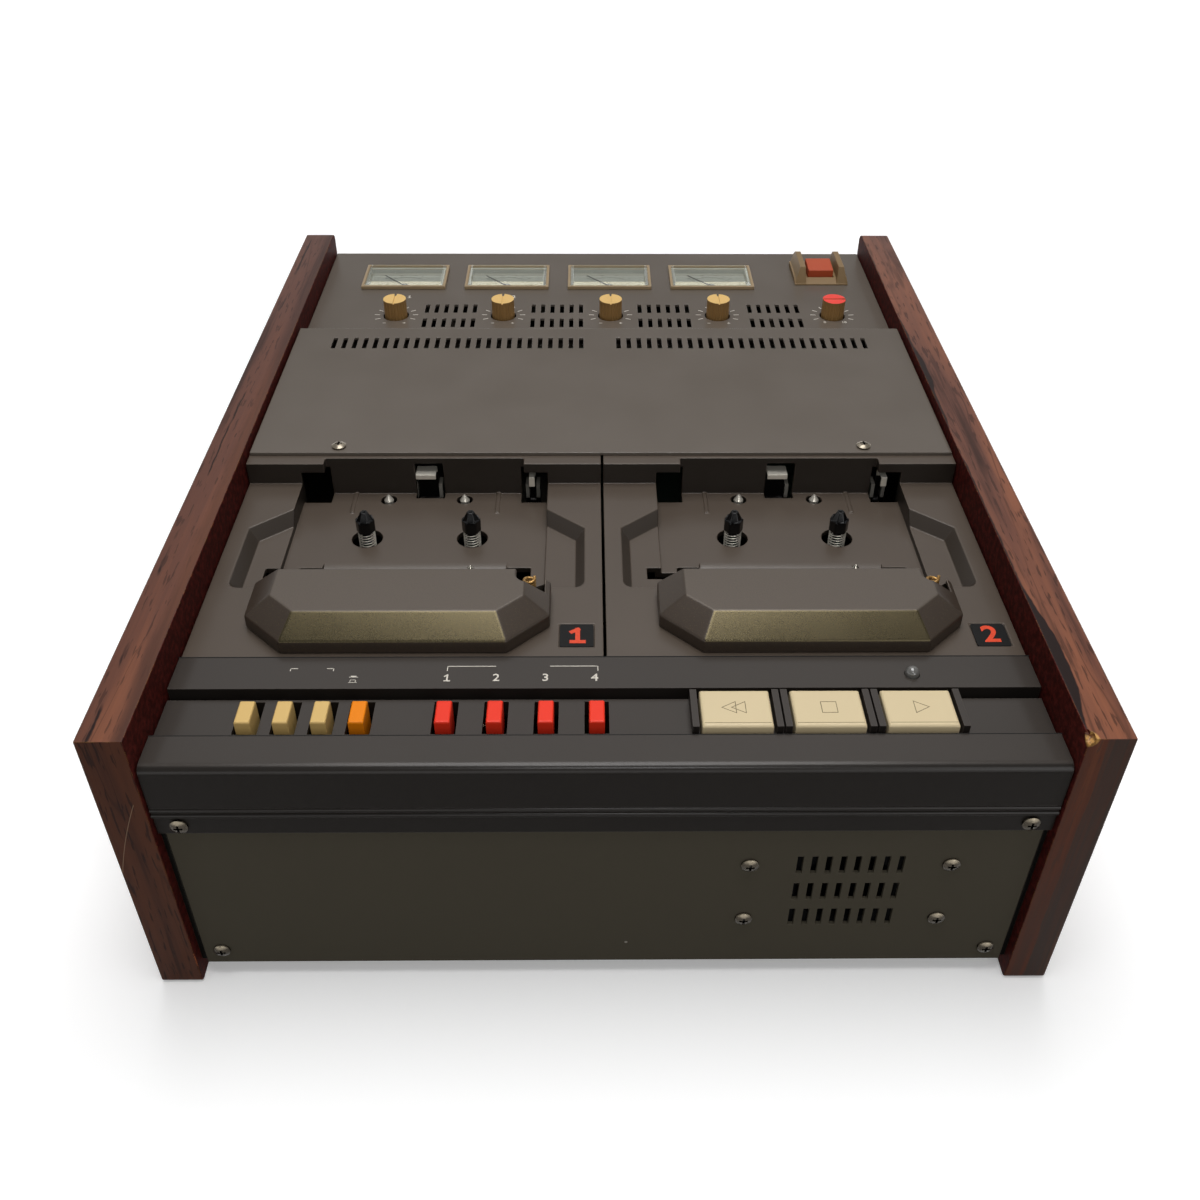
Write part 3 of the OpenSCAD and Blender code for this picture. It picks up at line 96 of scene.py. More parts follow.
def both(name):
    """The names of two like nodes, in the left and the right well."""
    return [f"master_{name}", f"slave_{name}"]


LEVEL_KNOBS = four("level_knob")
OPTION_BUTTONS = four("option_button")
RECORD_BUTTONS = four("record_button")
SPINDLE_TIPS = four("spindle_tip")
KEYS = ["rewind_key", "stop_key", "copy_key"]
WELLS = both("well")

# Levels and rows of the CAD model on which marks are laid.
FASCIA_TOP = 111.3 * MM
DECK_TOP = 113.5 * MM
BADGE_FLOOR = 109.8 * MM
BADGE_ROW = -133 * MM
DIAL_FLOOR = 111.5 * MM
DIAL_STEP = 112.5 * MM
DIAL_WIDTH = 38.8 * MM
NEEDLE_ROW = 156.0 * MM
KNOB_ROW = 118.8 * MM
METER_ROW = 164.1 * MM
METER_PITCH = 55.3 * MM
METER_FIRST = 104.6 * MM
CHEEK_INSIDE = 148 * MM
CHIPPED_CORNER = Vector((0.148, -0.1995, 0.125))
RUBBED_FOOT = Vector((-0.148, -0.2, 0.0135))
TIP_SHOULDER = 110.4 * MM
SHOULDER_LIFT = 1.7 * MM

# Nodes shown as copies with rounded edges: the rounding in millimetres and the material slot.
ROUNDED = {
    "meter_cases": (0.3, "meter_plastic"),
    "power_rocker": (0.45, "rocker_plastic"),
    **dict.fromkeys(WELLS, (0.4, "well_plastic")),
    "cover_plate": (0.25, "deck_paint"),
    "meter_deck": (0.2, "deck_paint"),
    **dict.fromkeys(both("hold_down"), (0.2, "lever_steel")),
    **dict.fromkeys(both("tab_lever"), (0.15, "lever_steel")),
    **dict.fromkeys(KEYS, (0.4, "key_cream")),
    **dict.fromkeys(OPTION_BUTTONS[:3], (0.3, "button_beige")),
    **dict.fromkeys(OPTION_BUTTONS[3:], (0.3, "button_orange")),
    **dict.fromkeys(RECORD_BUTTONS, (0.3, "button_red")),
}


def linear(level):
    """Linear light of a screen value from 0 to 255."""
    share = level / 255
    return share / 12.92 if share <= 0.04045 else ((share + 0.055) / 1.055) ** 2.4


def tint(red, green, blue):
    """A colour written in screen values, as linear light."""
    return (linear(red), linear(green), linear(blue))


def scaled(base, factor):
    """A colour made lighter or darker."""
    return tuple(min(1, channel * factor) for channel in base)


def colour(label, about, *screen):
    """A colour setting, whose default is written in screen values."""
    return bpy.props.FloatVectorProperty(
        name=label, description=about, subtype="COLOR", size=3, min=0, max=1, default=tint(*screen))


def length(label, about, millimetres):
    """A length setting, whose default is written in millimetres."""
    return bpy.props.FloatProperty(
        name=label, description=about, subtype="DISTANCE", unit="LENGTH", min=0,
        precision=5, default=millimetres * MM)


def turn_count(label, about, count):
    """The number of a spring's turns."""
    return bpy.props.IntProperty(name=label, description=about, min=2, max=12, default=count)


def light_power(label, about, watts):
    """The power of a light."""
    return bpy.props.FloatProperty(name=label, description=about, unit="POWER", default=watts)


def angle(label, about, degrees):
    """An angle setting, whose default is written in degrees."""
    return bpy.props.FloatProperty(
        name=label, description=about, subtype="ANGLE", default=math.radians(degrees))


class CaseSettings(bpy.types.PropertyGroup):
    """Colours of the case."""

    veneer: colour("Veneer", "Ground colour of the rosewood veneer", 98, 57, 42)
    veneer_light: colour("Veneer light", "Palest figure of the veneer", 142, 85, 57)
    veneer_dark: colour("Veneer dark", "Streaks and pores of the veneer", 32, 19, 17)
    veneer_grey: colour("Veneer grey", "Dark figure on the front of the right cheek", 72, 60, 54)
    cheek_inner: colour("Cheek inside", "Stained inner faces of the cheeks", 73, 26, 22)
    bare_board: colour("Bare board", "Board that shows where the veneer is chipped", 196, 148, 84)
    chip: length("Chip", "Radius of the chipped corner of the right cheek", 2.7)
    cheek_edge: length("Cheek edges", "Rounding of the cheeks' edges", 0.45)
    fascia: colour("Fascia", "Moulded fascia", 59, 54, 50)
    panel: colour("Front panel", "Paint of the front panel", 82, 77, 66)
    pan: colour("Pan", "Paint of the sheet-metal pan", 74, 70, 62)
    well: colour("Wells", "Moulded cassette wells", 79, 69, 60)
    hood: colour("Head covers", "Flaked paint of the head covers", 90, 81, 73)
    # Painted sheen: the olive tone stands in for the reflection of the light above on front-leaning
    # faces.
    hood_front_sheen: colour("Cover fronts", "Flaked paint where it leans to the front", 84, 76, 55)
    # Painted shade: the darker tone of faces that lean sideways and of the skirt.
    hood_side_shade: colour("Cover sides", "Flaked paint where it leans sideways", 66, 56, 48)
    deck: colour("Decks", "Paint of the cover and the rear deck", 96, 88, 80)
    guard: colour("Switch guard", "Moulded guard of the power switch", 127, 103, 69)
    meter_rim: colour("Meter rims", "Moulded meter cases", 150, 129, 98)
    # In part a painted reflection: this pale tone also covers the walls inside the meter windows, for
    # the lens bevels.
    meter_inside: colour("Meter insides", "Meter cases inside their windows", 186, 187, 177)


class ControlSettings(bpy.types.PropertyGroup):
    """Colours of the controls."""

    cream: colour("Keys", "Cream transport keys", 211, 193, 155)
    beige: colour("Option buttons", "Beige buttons", 212, 178, 112)
    orange: colour("Equaliser button", "Orange button", 233, 131, 8)
    red: colour("Record buttons", "Red buttons", 234, 52, 28)
    rocker: colour("Power rocker", "Orange-red power rocker", 174, 72, 38)
    gold: colour("Knobs", "Anodised level knobs", 248, 205, 126)
    bronze: colour("Knob sides", "Fluted sides of the knobs", 176, 138, 86)
    knob_red: colour("Monitor knob", "Painted cap of the monitor knob", 236, 62, 48)


class PrintSettings(bpy.types.PropertyGroup):
    """Sizes and colours of the printed marks."""

    white: colour("White print", "Printed numerals and lines", 214, 208, 196)
    mark_red: colour("Badge print", "Numerals on the badges", 226, 74, 42)
    badge: colour("Badges", "Dark plates of the badges", 28, 28, 28)
    engraving: colour("Key marks", "Engraved marks on the keys", 112, 100, 76)
    card: colour("Dial cards", "Pale cards of the meters", 184, 185, 176)
    strip: colour("Dial strips", "Cream strips of the meters", 246, 236, 202)
    ink: colour("Dial ink", "Scale marks on the dial cards", 74, 75, 72)
    film: length("Film", "Thickness of a printed mark", 0.06)
    line: length("Line", "Width of a printed line", 0.32)
    digit: length("Digits", "Height of the numerals over the record buttons", 3.5)
    knob_digit: length("Knob digits", "Height of the numerals beside the knobs", 2.9)
    badge_digit: length("Badge digits", "Height of the numerals on the badges", 8.4)


class FittingSettings(bpy.types.PropertyGroup):
    """Sizes of the wire springs."""

    spring_wire: length("Spring wire", "Wire of a tip spring", 0.5)
    spring_mean: length("Spring diameter", "Mean diameter of a tip spring", 6.5)
    spring_low: length("Spring foot", "Height of the foot of a tip spring", 96.6)
    spring_high: length("Spring head", "Height of the head of a tip spring", 106.2)
    spring_turns: turn_count("Spring turns", "Turns of a tip spring", 7)
    tip_travel: length("Tip travel", "How far a spindle tip goes down", 3.0)
    arm_wire: length("Arm spring wire", "Wire of an arm spring", 1.15)
    arm_mean: length("Arm spring diameter", "Mean diameter of an arm spring", 3.9)
    arm_low: length("Arm spring foot", "Height of the foot of an arm spring", 107.5)
    arm_high: length("Arm spring head", "Height of the head of an arm spring", 120.3)
    arm_turns: turn_count("Arm spring turns", "Turns of an arm spring", 8)


class StageSettings(bpy.types.PropertyGroup):
    """Floor, lights and camera."""

    floor: colour("Floor", "Plain pale floor", 250, 250, 250)
    floor_bounce: colour("Floor bounce", "Floor as the object's sides are lit by it", 150, 150, 150)
    floor_glow: colour("Floor glow", "Light added to the floor near the object", 126, 126, 126)
    world: colour("Surroundings", "Plain grey surroundings", 116, 116, 116)
    top_power: light_power("Top light", "Power of the soft light overhead", 14)
    sheen_power: light_power("Sheen light", "Power of the small light above the front", 1.5)
    front_power: light_power("Front light", "Power of the soft light in front", 2.6)
    window_power: light_power("Window light", "Power of the light from the camera's side", 1.5)
    back_power: light_power("Back light", "Power of the soft light behind", 8)
    lens: bpy.props.FloatProperty(
        name="Lens", description="Focal length in millimetres", default=36.33)
    camera: bpy.props.FloatVectorProperty(
        name="Camera", description="Place of the camera", subtype="TRANSLATION", unit="LENGTH",
        default=(-0.00609, -0.46213, 0.3897))
    pitch: angle("Pitch", "How far the camera looks down", 38.65)
    yaw: angle("Yaw", "How far the camera looks to the right", 0.75)
    roll: angle("Roll", "How far the camera leans", 0.37)


def operators(operation):
    """The two methods of one operator, for a shade on its left and on its right."""
    return (lambda self, other: self.maths(operation, self, other),
            lambda self, other: self.maths(operation, other, self))


class Shade:
    """A shader socket that takes Python's operators, each of which adds one Math node."""

    __add__, __radd__ = operators("ADD")
    __sub__, __rsub__ = operators("SUBTRACT")
    __mul__, __rmul__ = operators("MULTIPLY")
    __truediv__, __rtruediv__ = operators("DIVIDE")

    def __init__(self, finish, socket):
        self.finish = finish
        self.socket = socket

    def __abs__(self):
        return self.maths("ABSOLUTE", self)

    def maths(self, operation, *terms):
        return self.finish.node("Math", {"operation": operation}, dict(enumerate(terms)))

    def wrapped(self):
        """The part after the decimal point."""
        return self.maths("FRACT", self)

    def larger(self, other):
        return self.maths("MAXIMUM", self, other)

    def sway(self, amount):
        """Half an amount below 0 to half an amount above it, as this goes from 0 to 1."""
        return amount * (self - 0.5)

    def towards(self, other, part):
        """This value where part is 0, and the other where it is 1."""
        return self * (1 - part) + other * part

    def ease(self, low, high):
        """0 below low, 1 above high and smooth between, or the other way round if high is lower."""
        falling = low > high
        return self.finish.node("MapRange", {"interpolation_type": "SMOOTHSTEP"}, {
            0: self, 1: min(low, high), 2: max(low, high),
            3: float(falling), 4: float(not falling)})


class Finish:
    """A material under construction."""

    def __init__(self, name, specular=0.5, **constants):
        self.material = bpy.data.materials.new(name)
        self.material.use_nodes = True
        self.tree = self.material.node_tree
        self.shader = self.tree.nodes["Principled BSDF"]
        self.coords = self.node("TexCoord", out="Object")
        self.shader.inputs["Specular IOR Level"].default_value = specular
        self.surface(**constants)

    def feed(self, socket, value):
        """Links a shade to a socket, or sets a plain value on it."""
        if isinstance(value, Shade):
            self.tree.links.new(value.socket, socket)
        elif socket.type == "RGBA" and len(value) == 3:
            socket.default_value = (*value, 1)
        else:
            socket.default_value = value

    def node(self, kind, settings=None, sockets=None, out=0):
        """One node of a kind, with its settings and then its sockets' values or links."""
        made = self.tree.nodes.new("ShaderNode" + kind)
        for name, value in (settings or {}).items():
            setattr(made, name, value)
        for name, value in (sockets or {}).items():
            self.feed(made.inputs[name], value)
        return Shade(self, made.outputs[out])

    def axis(self, name):
        """One of the object's own coordinates."""
        return self.node("SeparateXYZ", {}, {0: self.coords}, out=name)

    def facing(self, name):
        """One part of the object's own normal."""
        normal = self.node("TexCoord", out="Normal")
        return self.node("SeparateXYZ", {}, {0: normal}, out=name)

    def away(self, point):
        """The distance from a point."""
        return self.node(
            "VectorMath", {"operation": "DISTANCE"}, {0: self.coords, 1: point}, out="Value")

    def noise(self, scale, detail=2, roughness=0.5, stretch=(1, 1, 1), distortion=0):
        """Clouds from 0 to 1, about as many a metre as the scale, times the stretch of each axis."""
        place = self.node("Mapping", {}, {"Vector": self.coords, "Scale": stretch})
        return self.node("TexNoise", {}, {
            "Vector": place, "Scale": scale, "Detail": detail, "Roughness": roughness,
            "Distortion": distortion})

    def mix(self, factor, first, second):
        return self.node("Mix", {"data_type": "RGBA"}, {0: factor, 6: first, 7: second}, out=2)

    def specks(self, scale, radius, kept):
        """Sparse round dots: cells a metre, a dot's radius and the share of cells with a dot."""
        sockets = {"Vector": self.coords, "Scale": scale}
        distance = self.node("TexVoronoi", {}, sockets, out="Distance")
        cell = self.node("TexVoronoi", {}, sockets, out="Color")
        lot = self.node("SeparateColor", {}, {0: cell}, out="Red")
        edge = radius * scale
        return distance.ease(edge, edge * 0.6) * lot.ease(kept + 0.01, kept)

    def rounded(self, radius):
        """The normal of a surface whose edges are rounded by a radius."""
        return self.node("Bevel", {"samples": 6}, {"Radius": radius})

    def worn(self, rounded, low=0.02, high=0.16):
        """1 along edges and 0 on flat faces."""
        true_normal = self.node("NewGeometry", out="Normal")
        straight = self.node(
            "VectorMath", {"operation": "DOT_PRODUCT"}, {0: rounded, 1: true_normal}, out="Value")
        return (1 - straight).ease(low, high)

    def bump(self, height, distance, normal):
        return self.node("Bump", {}, {"Height": height, "Distance": distance, "Normal": normal})

    def surface(self, **parts):
        """Feeds the shader's sockets, named in small letters, and gives the material."""
        for socket, value in parts.items():
            self.feed(self.shader.inputs[socket.replace("_", " ").title()], value)
        return self.material


DUST = tint(190, 184, 174)


def satin(name, base, roughness=0.45, specular=0.5, radius=0.5 * MM, mottle=0.08, edge=1.35,
          dust=0.35, painted_steep_shade=0.0, painted_front_shade=0.0, coat=0.0, nick=None):
    """Moulded plastic or paint: clouded colour, fine grain, paler edges and a little dust on top.

    Steep faces and faces to the front can be darker by a share: painted shade. The paler edges are
    edge wear, and a painted highlight where the edge factor is large. The upper faces can have a
    glossy coat, and one point can have a pale nick.
    """
    finish = Finish(name, specular)
    cloud = finish.noise(38, detail=4)
    grain = finish.noise(2600, detail=2)
    normal = finish.rounded(radius)
    tone = finish.mix(cloud, scaled(base, 1 - mottle), scaled(base, 1 + mottle))
    # Painted shade: steep faces, such as the walls of the wells' recesses, are darkened by a share.
    if painted_steep_shade:
        tone = finish.mix(finish.facing("Z").ease(0.85, 0.4), tone, scaled(base, 1 - painted_steep_shade))
    # Painted shade: faces that turn to the front are darkened by a share.
    if painted_front_shade:
        to_front = (finish.facing("Y") * -1).ease(0.3, 0.6)
        tone = finish.mix(to_front, tone, scaled(base, 1 - painted_front_shade))
    # Edges go towards the base colour times the edge factor: edge wear, and a painted highlight where
    # the factor is large.
    tone = finish.mix(finish.worn(normal) * (0.35 + 0.5 * cloud), tone, scaled(base, edge))
    if dust:
        upward = finish.facing("Z").ease(0.5, 0.9)
        tone = finish.mix(finish.specks(75, 0.16 * MM, dust) * upward * 0.5, tone, DUST)
    if nick:
        tone = finish.mix(finish.away(nick).ease(0.7 * MM, 0.4 * MM) * 0.6, tone, DUST)
    if coat:
        upward = finish.facing("Z").ease(0.1, 0.45)
        finish.surface(coat_roughness=0.24, coat_weight=coat * upward)
    return finish.surface(
        base_color=tone, roughness=roughness + cloud.sway(0.16) + grain.sway(0.08),
        normal=finish.bump(grain, 0.012 * MM, normal))


def metal(name, base, roughness):
    """Bare metal with fine scratches and dull patches."""
    finish = Finish(name, metallic=1.0)
    scratches = finish.noise(1500, detail=3)
    patches = finish.noise(160, detail=3)
    tone = finish.mix(patches.ease(0.35, 0.7), base, scaled(base, 0.75))
    return finish.surface(
        base_color=tone, roughness=roughness + scratches.sway(0.2) + patches.sway(0.12),
        normal=finish.bump(scratches, 0.006 * MM, finish.rounded(0.25 * MM)))


def veneer_figure(finish, along):
    """How pale and how dark a veneer is whose grain runs along Y or Z."""
    def stretch(across, lengthwise):
        return (across, lengthwise, across) if along == "Y" else (across, across, lengthwise)
    broad = finish.noise(1, detail=3, stretch=stretch(34, 2.2), distortion=0.6)
    fine = finish.noise(1, detail=6, roughness=0.65, stretch=stretch(150, 5))
    pores = finish.noise(1, detail=2, stretch=stretch(760, 80)).ease(0.57, 0.64)
    contour = abs((broad * 7).wrapped() - 0.5).ease(0.07, 0.0) * fine.ease(0.35, 0.6)
    streak = (0.55 * broad + 0.45 * fine).ease(0.46, 0.36)
    pale = (0.6 * broad + 0.4 * fine).ease(0.42, 0.62)
    return pale, streak.larger(0.7 * contour).larger(0.8 * pores)


def cheek_figure(finish, x, y, front, right):
    """How pale and how dark the cheeks are, each with dark places of its own. Millimetres."""
    waver = finish.noise(1, detail=4, roughness=0.6, stretch=(90, 26, 26)) - 0.5
    slow = finish.noise(1, detail=1, stretch=(4, 7, 4)) - 0.5
    across = abs(x) - CHEEK_INSIDE / MM + 5 * waver
    pale_y, dark_y = veneer_figure(finish, "Y")
    pale_z, dark_z = veneer_figure(finish, "Z")
    # The left cheek has a broken dark line and a darker inner half.
    broken = finish.noise(1, detail=3, stretch=(40, 24, 40)).ease(0.44, 0.56)
    long_line = abs(across - 11.2 - 9 * slow).ease(0.8, 0.1) * broken
    top_left = long_line.larger(0.55 * across.ease(7.5, 2)).larger(0.75 * dark_y).larger(0.2)
    front_left = 0.42 + 0.5 * dark_z
    # The right cheek has an inner band that swells twice, and a lined outer half in front.
    swell = 3.8 * abs(y + 162).ease(40, 8) + 2.6 * abs(y - 38).ease(26, 6)
    band = (swell + 0.9 - across).ease(-0.2, 0.5)
    blotch = finish.noise(1, detail=5, roughness=0.6, stretch=(240, 15, 240)).ease(0.56, 0.66)
    blotch = blotch * finish.facing("Z").ease(0.5, 0.8)
    top_right = band.larger(0.5 * blotch).larger(0.75 * dark_y)
    lines = finish.noise(1, detail=4, roughness=0.6, stretch=(420, 420, 9)).ease(0.35, 0.6)
    front_right = (across.ease(6.2, 7) * (0.55 + 0.4 * lines)).larger(0.5 * dark_z)
    dark_top = top_left.towards(top_right, right)
    dark_front = front_left.towards(front_right, right)
    return pale_y.towards(pale_z, front), dark_top.towards(dark_front, front)


def cheek_damage(finish, case, tone, normal, x, y, z):
    """The cheeks' colour with a scratch, a chipped corner and a rubbed foot, and the chip alone."""
    down = 96.3 - z
    path = x + 151.2 + 0.43 * down - 0.0027 * down * down
    scratch = abs(path).ease(0.16, 0.05) * y.ease(-190, -198) * z.ease(62, 63) * z.ease(97, 96)
    tone = finish.mix(scratch * 0.5, tone, tint(190, 160, 130))
    bared = finish.noise(900, detail=3)
    board = finish.mix(bared.ease(0.4, 0.6), scaled(case.bare_board, 0.5), case.bare_board)
    chip = (finish.away(CHIPPED_CORNER) + 1.2 * MM * bared).ease(4.2 * MM, 3.6 * MM)
    tone = finish.mix(chip, tone, board)
    rubbed = (finish.away(RUBBED_FOOT) + 6 * MM * bared).ease(7.2 * MM, 5.6 * MM)
    rubbed = rubbed * finish.worn(normal, 0.004, 0.05)
    return finish.mix(rubbed, tone, tint(190, 108, 66)), chip


def veneer(case):
    """Rosewood veneer outside, stained board inside, worn edges, a scratch, a chipped corner, painted
    shade in front.
    """
    finish = Finish("rosewood_veneer", 0.05, coat_roughness=0.36)
    x, y, z = [finish.axis(name) * 1000 for name in "XYZ"]
    front = abs(finish.facing("Y")).ease(0.6, 0.8)
    inner = (finish.facing("X") * x * -1).ease(20, 60)
    right = x.ease(-1, 1)
    pale, dark = cheek_figure(finish, x, y, front, right)
    deep = finish.mix(front * right, case.veneer_dark, case.veneer_grey)
    wood = finish.mix(dark, finish.mix(pale, case.veneer, case.veneer_light), deep)
    # Painted shade: the front faces are darkened, more on the left cheek than on the right.
    painted_wood_shade = finish.mix(dark, scaled(case.veneer, 0.3), scaled(case.veneer_dark, 0.3))
    wood = finish.mix(front * (0.45 - 0.22 * right), wood, painted_wood_shade)
    fibre = finish.noise(420, detail=4, roughness=0.7)
    stain = case.cheek_inner
    stained = finish.mix(fibre.ease(0.35, 0.75), scaled(stain, 0.5), scaled(stain, 1.7))
    normal = finish.rounded(0.6 * MM)
    rub = finish.worn(normal) * finish.noise(260, detail=3).ease(0.45, 0.6)
    tone = finish.mix(rub * 0.4, finish.mix(inner, wood, stained), case.bare_board)
    tone, chip = cheek_damage(finish, case, tone, normal, x, y, z)
    return finish.surface(
        base_color=tone, roughness=0.36 + fibre.sway(0.2) + 0.25 * inner + 0.3 * chip,
        coat_weight=0.68 * finish.facing("Z").ease(0.3, 0.7) * (1 - 0.5 * dark),
        normal=finish.bump(1 - 0.6 * dark, 0.03 * MM, normal))


def flaked(case):
    """Flaked paint: olive painted sheen to the front, painted shade on sides and skirt, painted edge
    highlights.
    """
    finish = Finish("flaked_paint")
    flakes = finish.noise(3000, detail=2, roughness=0.6)
    cloud = finish.noise(60, detail=3)
    normal = finish.rounded(0.5 * MM)
    sideways = abs(finish.facing("X")).ease(0.15, 0.3)
    skirt = finish.facing("Z").ease(0.3, 0.1)
    # Painted sheen: faces that lean to the front take an olive tone, and are more metallic and less
    # rough below.
    to_front = (finish.facing("Y") * -1).ease(0.2, 0.5) * (1 - sideways) * (1 - skirt)
    # Painted shade: faces that lean sideways, and the skirt below, take a darker tone.
    tone = finish.mix(to_front, finish.mix(sideways, case.hood, case.hood_side_shade), case.hood_front_sheen)
    tone = finish.mix(skirt, tone, case.hood_side_shade)
    tone = finish.mix(flakes.ease(0.5, 0.3) * 0.45, tone, scaled(case.hood_side_shade, 0.6))
    tone = finish.mix(flakes.ease(0.55, 0.75) * 0.4, tone, scaled(case.hood_front_sheen, 2.4))
    # Painted highlight: the rounded edges are mixed towards a much paler tone.
    tone = finish.mix(finish.worn(normal) * 0.8, tone, scaled(case.hood, 3.2))
    return finish.surface(
        base_color=tone, metallic=0.15 + 0.6 * to_front + 0.2 * flakes.ease(0.4, 0.65),
        roughness=0.38 - 0.1 * to_front + cloud.sway(0.1) + flakes.sway(0.1),
        normal=finish.bump(flakes, 0.008 * MM, normal))


def screw_steel():
    """Bronzed screws in front, with painted highlights on upper rims and painted shade in recesses;
    bright cover screws.
    """
    finish = Finish("screw_steel")
    bright = finish.axis("Z").ease(117 * MM, 118 * MM)
    patches = finish.noise(900, detail=3)
    shade_occlusion = finish.node("AmbientOcclusion", {"samples": 8}, {"Distance": 1.6 * MM}, out="AO")
    # Painted highlight: faces of the front screws that turn upwards take a pale tone.
    rim = finish.facing("Z").ease(0.25, 0.6)
    bronze_with_highlight = finish.mix(rim, tint(64, 57, 46), tint(176, 164, 142))
    tone = finish.mix(bright, bronze_with_highlight, tint(150, 140, 124))
    tone = finish.mix(patches.ease(0.5, 0.7) * 0.5, tone, tint(44, 38, 31))
    # Painted shade: where ambient occlusion finds the head closed in, as in the cross recesses, the
    # colour goes near black.
    tone = finish.mix(shade_occlusion.ease(0.85, 0.5), tone, tint(10, 8, 7))
    return finish.surface(
        base_color=tone, metallic=0.5 + 0.3 * patches, roughness=0.26 + patches.sway(0.2))


def knob_finish(name, cap, side, cap_metal):
    """A turned cap over fluted bronzed sides."""
    finish = Finish(name)
    top = finish.facing("Z").ease(0.5, 0.8) * finish.axis("Z").ease(119 * MM, 120 * MM)
    turned = finish.noise(1400, detail=2)
    lid = finish.mix(turned, scaled(cap, 0.9), scaled(cap, 1.06))
    return finish.surface(
        base_color=finish.mix(top, side, lid), metallic=(1 - top) * 0.6 + top * cap_metal,
        roughness=0.38 + turned.sway(0.05))


def clear_lens():
    """Clear moulding: see-through, with a mirror that grows towards grazing angles."""
    finish = Finish("clear_lens")
    grime = finish.noise(140, detail=4)
    gloss = finish.node("LayerWeight", {}, {"Blend": 0.32}, out="Fresnel")
    through = finish.node("BsdfTransparent", {}, {"Color": (0.97, 0.98, 0.97)})
    mirror = finish.node("BsdfGlossy", {}, {"Color": (0.95, 0.95, 0.95), "Roughness": 0.04})
    mixed = finish.node("MixShader", {}, {0: gloss * 0.45 + 0.02 * grime, 1: through, 2: mirror})
    finish.feed(finish.tree.nodes["Material Output"].inputs["Surface"], mixed)
    return finish.material


def smoky_lamp():
    """Smoky clear dome of an unlit lamp."""
    finish = Finish("smoky_lamp", 0.8, coat_weight=0.6)
    cloud = finish.noise(500, detail=3)
    tone = finish.mix(cloud, tint(84, 83, 81), tint(112, 111, 108))
    return finish.surface(base_color=tone, roughness=0.1 + 0.08 * cloud)


def plate_steel():
    """Plates painted near black, as painted shade in the dark well windows, with bright upright pins.
    """
    finish = Finish("plate_steel")
    pin = finish.axis("Z").ease(98 * MM, 99 * MM)
    patches = finish.noise(220, detail=3)
    # Painted shade: the plates take a near-black tone.
    dull = finish.mix(patches, tint(20, 19, 18), tint(34, 32, 30))
    tone = finish.mix(pin, dull, tint(214, 208, 196))
    return finish.surface(
        base_color=tone, metallic=1 - 0.4 * pin, roughness=0.5 - 0.26 * pin + patches.sway(0.12))


def meter_plastic(case):
    """Tan meter cases, pale inside their windows: the dial's own colour, and on the walls a painted
    reflection.
    """
    finish = Finish("meter_plastic", 0.45)
    # Inside each window the case is pale: the dial's own colour, and on the window walls a painted
    # reflection of the lens bevels.
    column = ((finish.axis("X") + METER_FIRST) / METER_PITCH + 0.5).wrapped()
    aside = abs(column * METER_PITCH - METER_PITCH / 2).ease(21 * MM, 20.8 * MM)
    inside = aside * abs(finish.axis("Y") - METER_ROW).ease(12.6 * MM, 12.4 * MM)
    cloud = finish.noise(60, detail=4)
    normal = finish.rounded(0.4 * MM)
    rim = finish.mix(cloud, scaled(case.meter_rim, 0.9), scaled(case.meter_rim, 1.1))
    rim = finish.mix(finish.worn(normal) * 0.5, rim, scaled(case.meter_rim, 1.5))
    return finish.surface(
        base_color=finish.mix(inside, rim, case.meter_inside),
        roughness=0.42 + cloud.sway(0.15), normal=normal)


def lever_steel(name, dark_below):
    """Bright levers that are near black below a given height."""
    finish = Finish(name)
    bright = finish.axis("Z").ease(dark_below - 0.3 * MM, dark_below + 0.3 * MM)
    patches = finish.noise(700, detail=3)
    tone = finish.mix(patches, tint(226, 220, 206), tint(248, 243, 230))
    return finish.surface(
        base_color=finish.mix(bright, tint(26, 24, 23), tone), metallic=0.45 + 0.1 * patches,
        roughness=0.3 + patches.sway(0.12))


def wire_steel(name, base):
    """Drawn wire with dull patches."""
    finish = Finish(name)
    patches = finish.noise(500, detail=3)
    tone = finish.mix(patches.ease(0.4, 0.7), base, scaled(base, 0.7))
    return finish.surface(
        base_color=tone, metallic=0.55 + 0.2 * patches, roughness=0.32 + patches.sway(0.12))


def black_gloss(name, base, roughness, specular):
    """Black moulding with a faint bloom."""
    finish = Finish(name, specular)
    bloom = finish.noise(420, detail=3)
    tone = finish.mix(0.3 * bloom, base, scaled(base, 2))
    return finish.surface(base_color=tone, roughness=roughness + bloom.sway(0.12))


def ink(name, base, roughness=0.6):
    """Printed film with slightly uneven cover."""
    finish = Finish(name, 0.3)
    cover = finish.noise(900, detail=3)
    tone = finish.mix(cover.ease(0.3, 0.7), scaled(base, 0.86), base)
    return finish.surface(base_color=tone, roughness=roughness + cover.sway(0.1))


def paint(nodes, material):
    """Gives CAD nodes one finish."""
    for name in nodes:
        node = frame["nodes"][name]
        if not node.material_slots:
            node.data.materials.append(material)
        for slot in node.material_slots:
            slot.material = material


def deselect():
    bpy.ops.object.select_all(action="DESELECT")


def make_active(pieces):
    """Selects these pieces alone, the first of them active."""
    deselect()
    for piece in pieces:
        piece.select_set(True)
    bpy.context.view_layer.objects.active = pieces[0]
    return pieces[0]


def select_all():
    bpy.ops.mesh.select_all(action="SELECT")


def edit(piece):
    """Opens a piece in edit mode, with all of it selected."""
    make_active([piece])
    bpy.ops.object.mode_set(mode="EDIT")
    select_all()


def leave_edit():
    bpy.ops.object.mode_set(mode="OBJECT")


def modified(piece, kind, **settings):
    """Adds a modifier to the active piece, with its settings, and applies it."""
    made = piece.modifiers.new(kind.lower(), kind)
    for name, value in settings.items():
        setattr(made, name, value)
    bpy.ops.object.modifier_apply(modifier=made.name)
    return piece


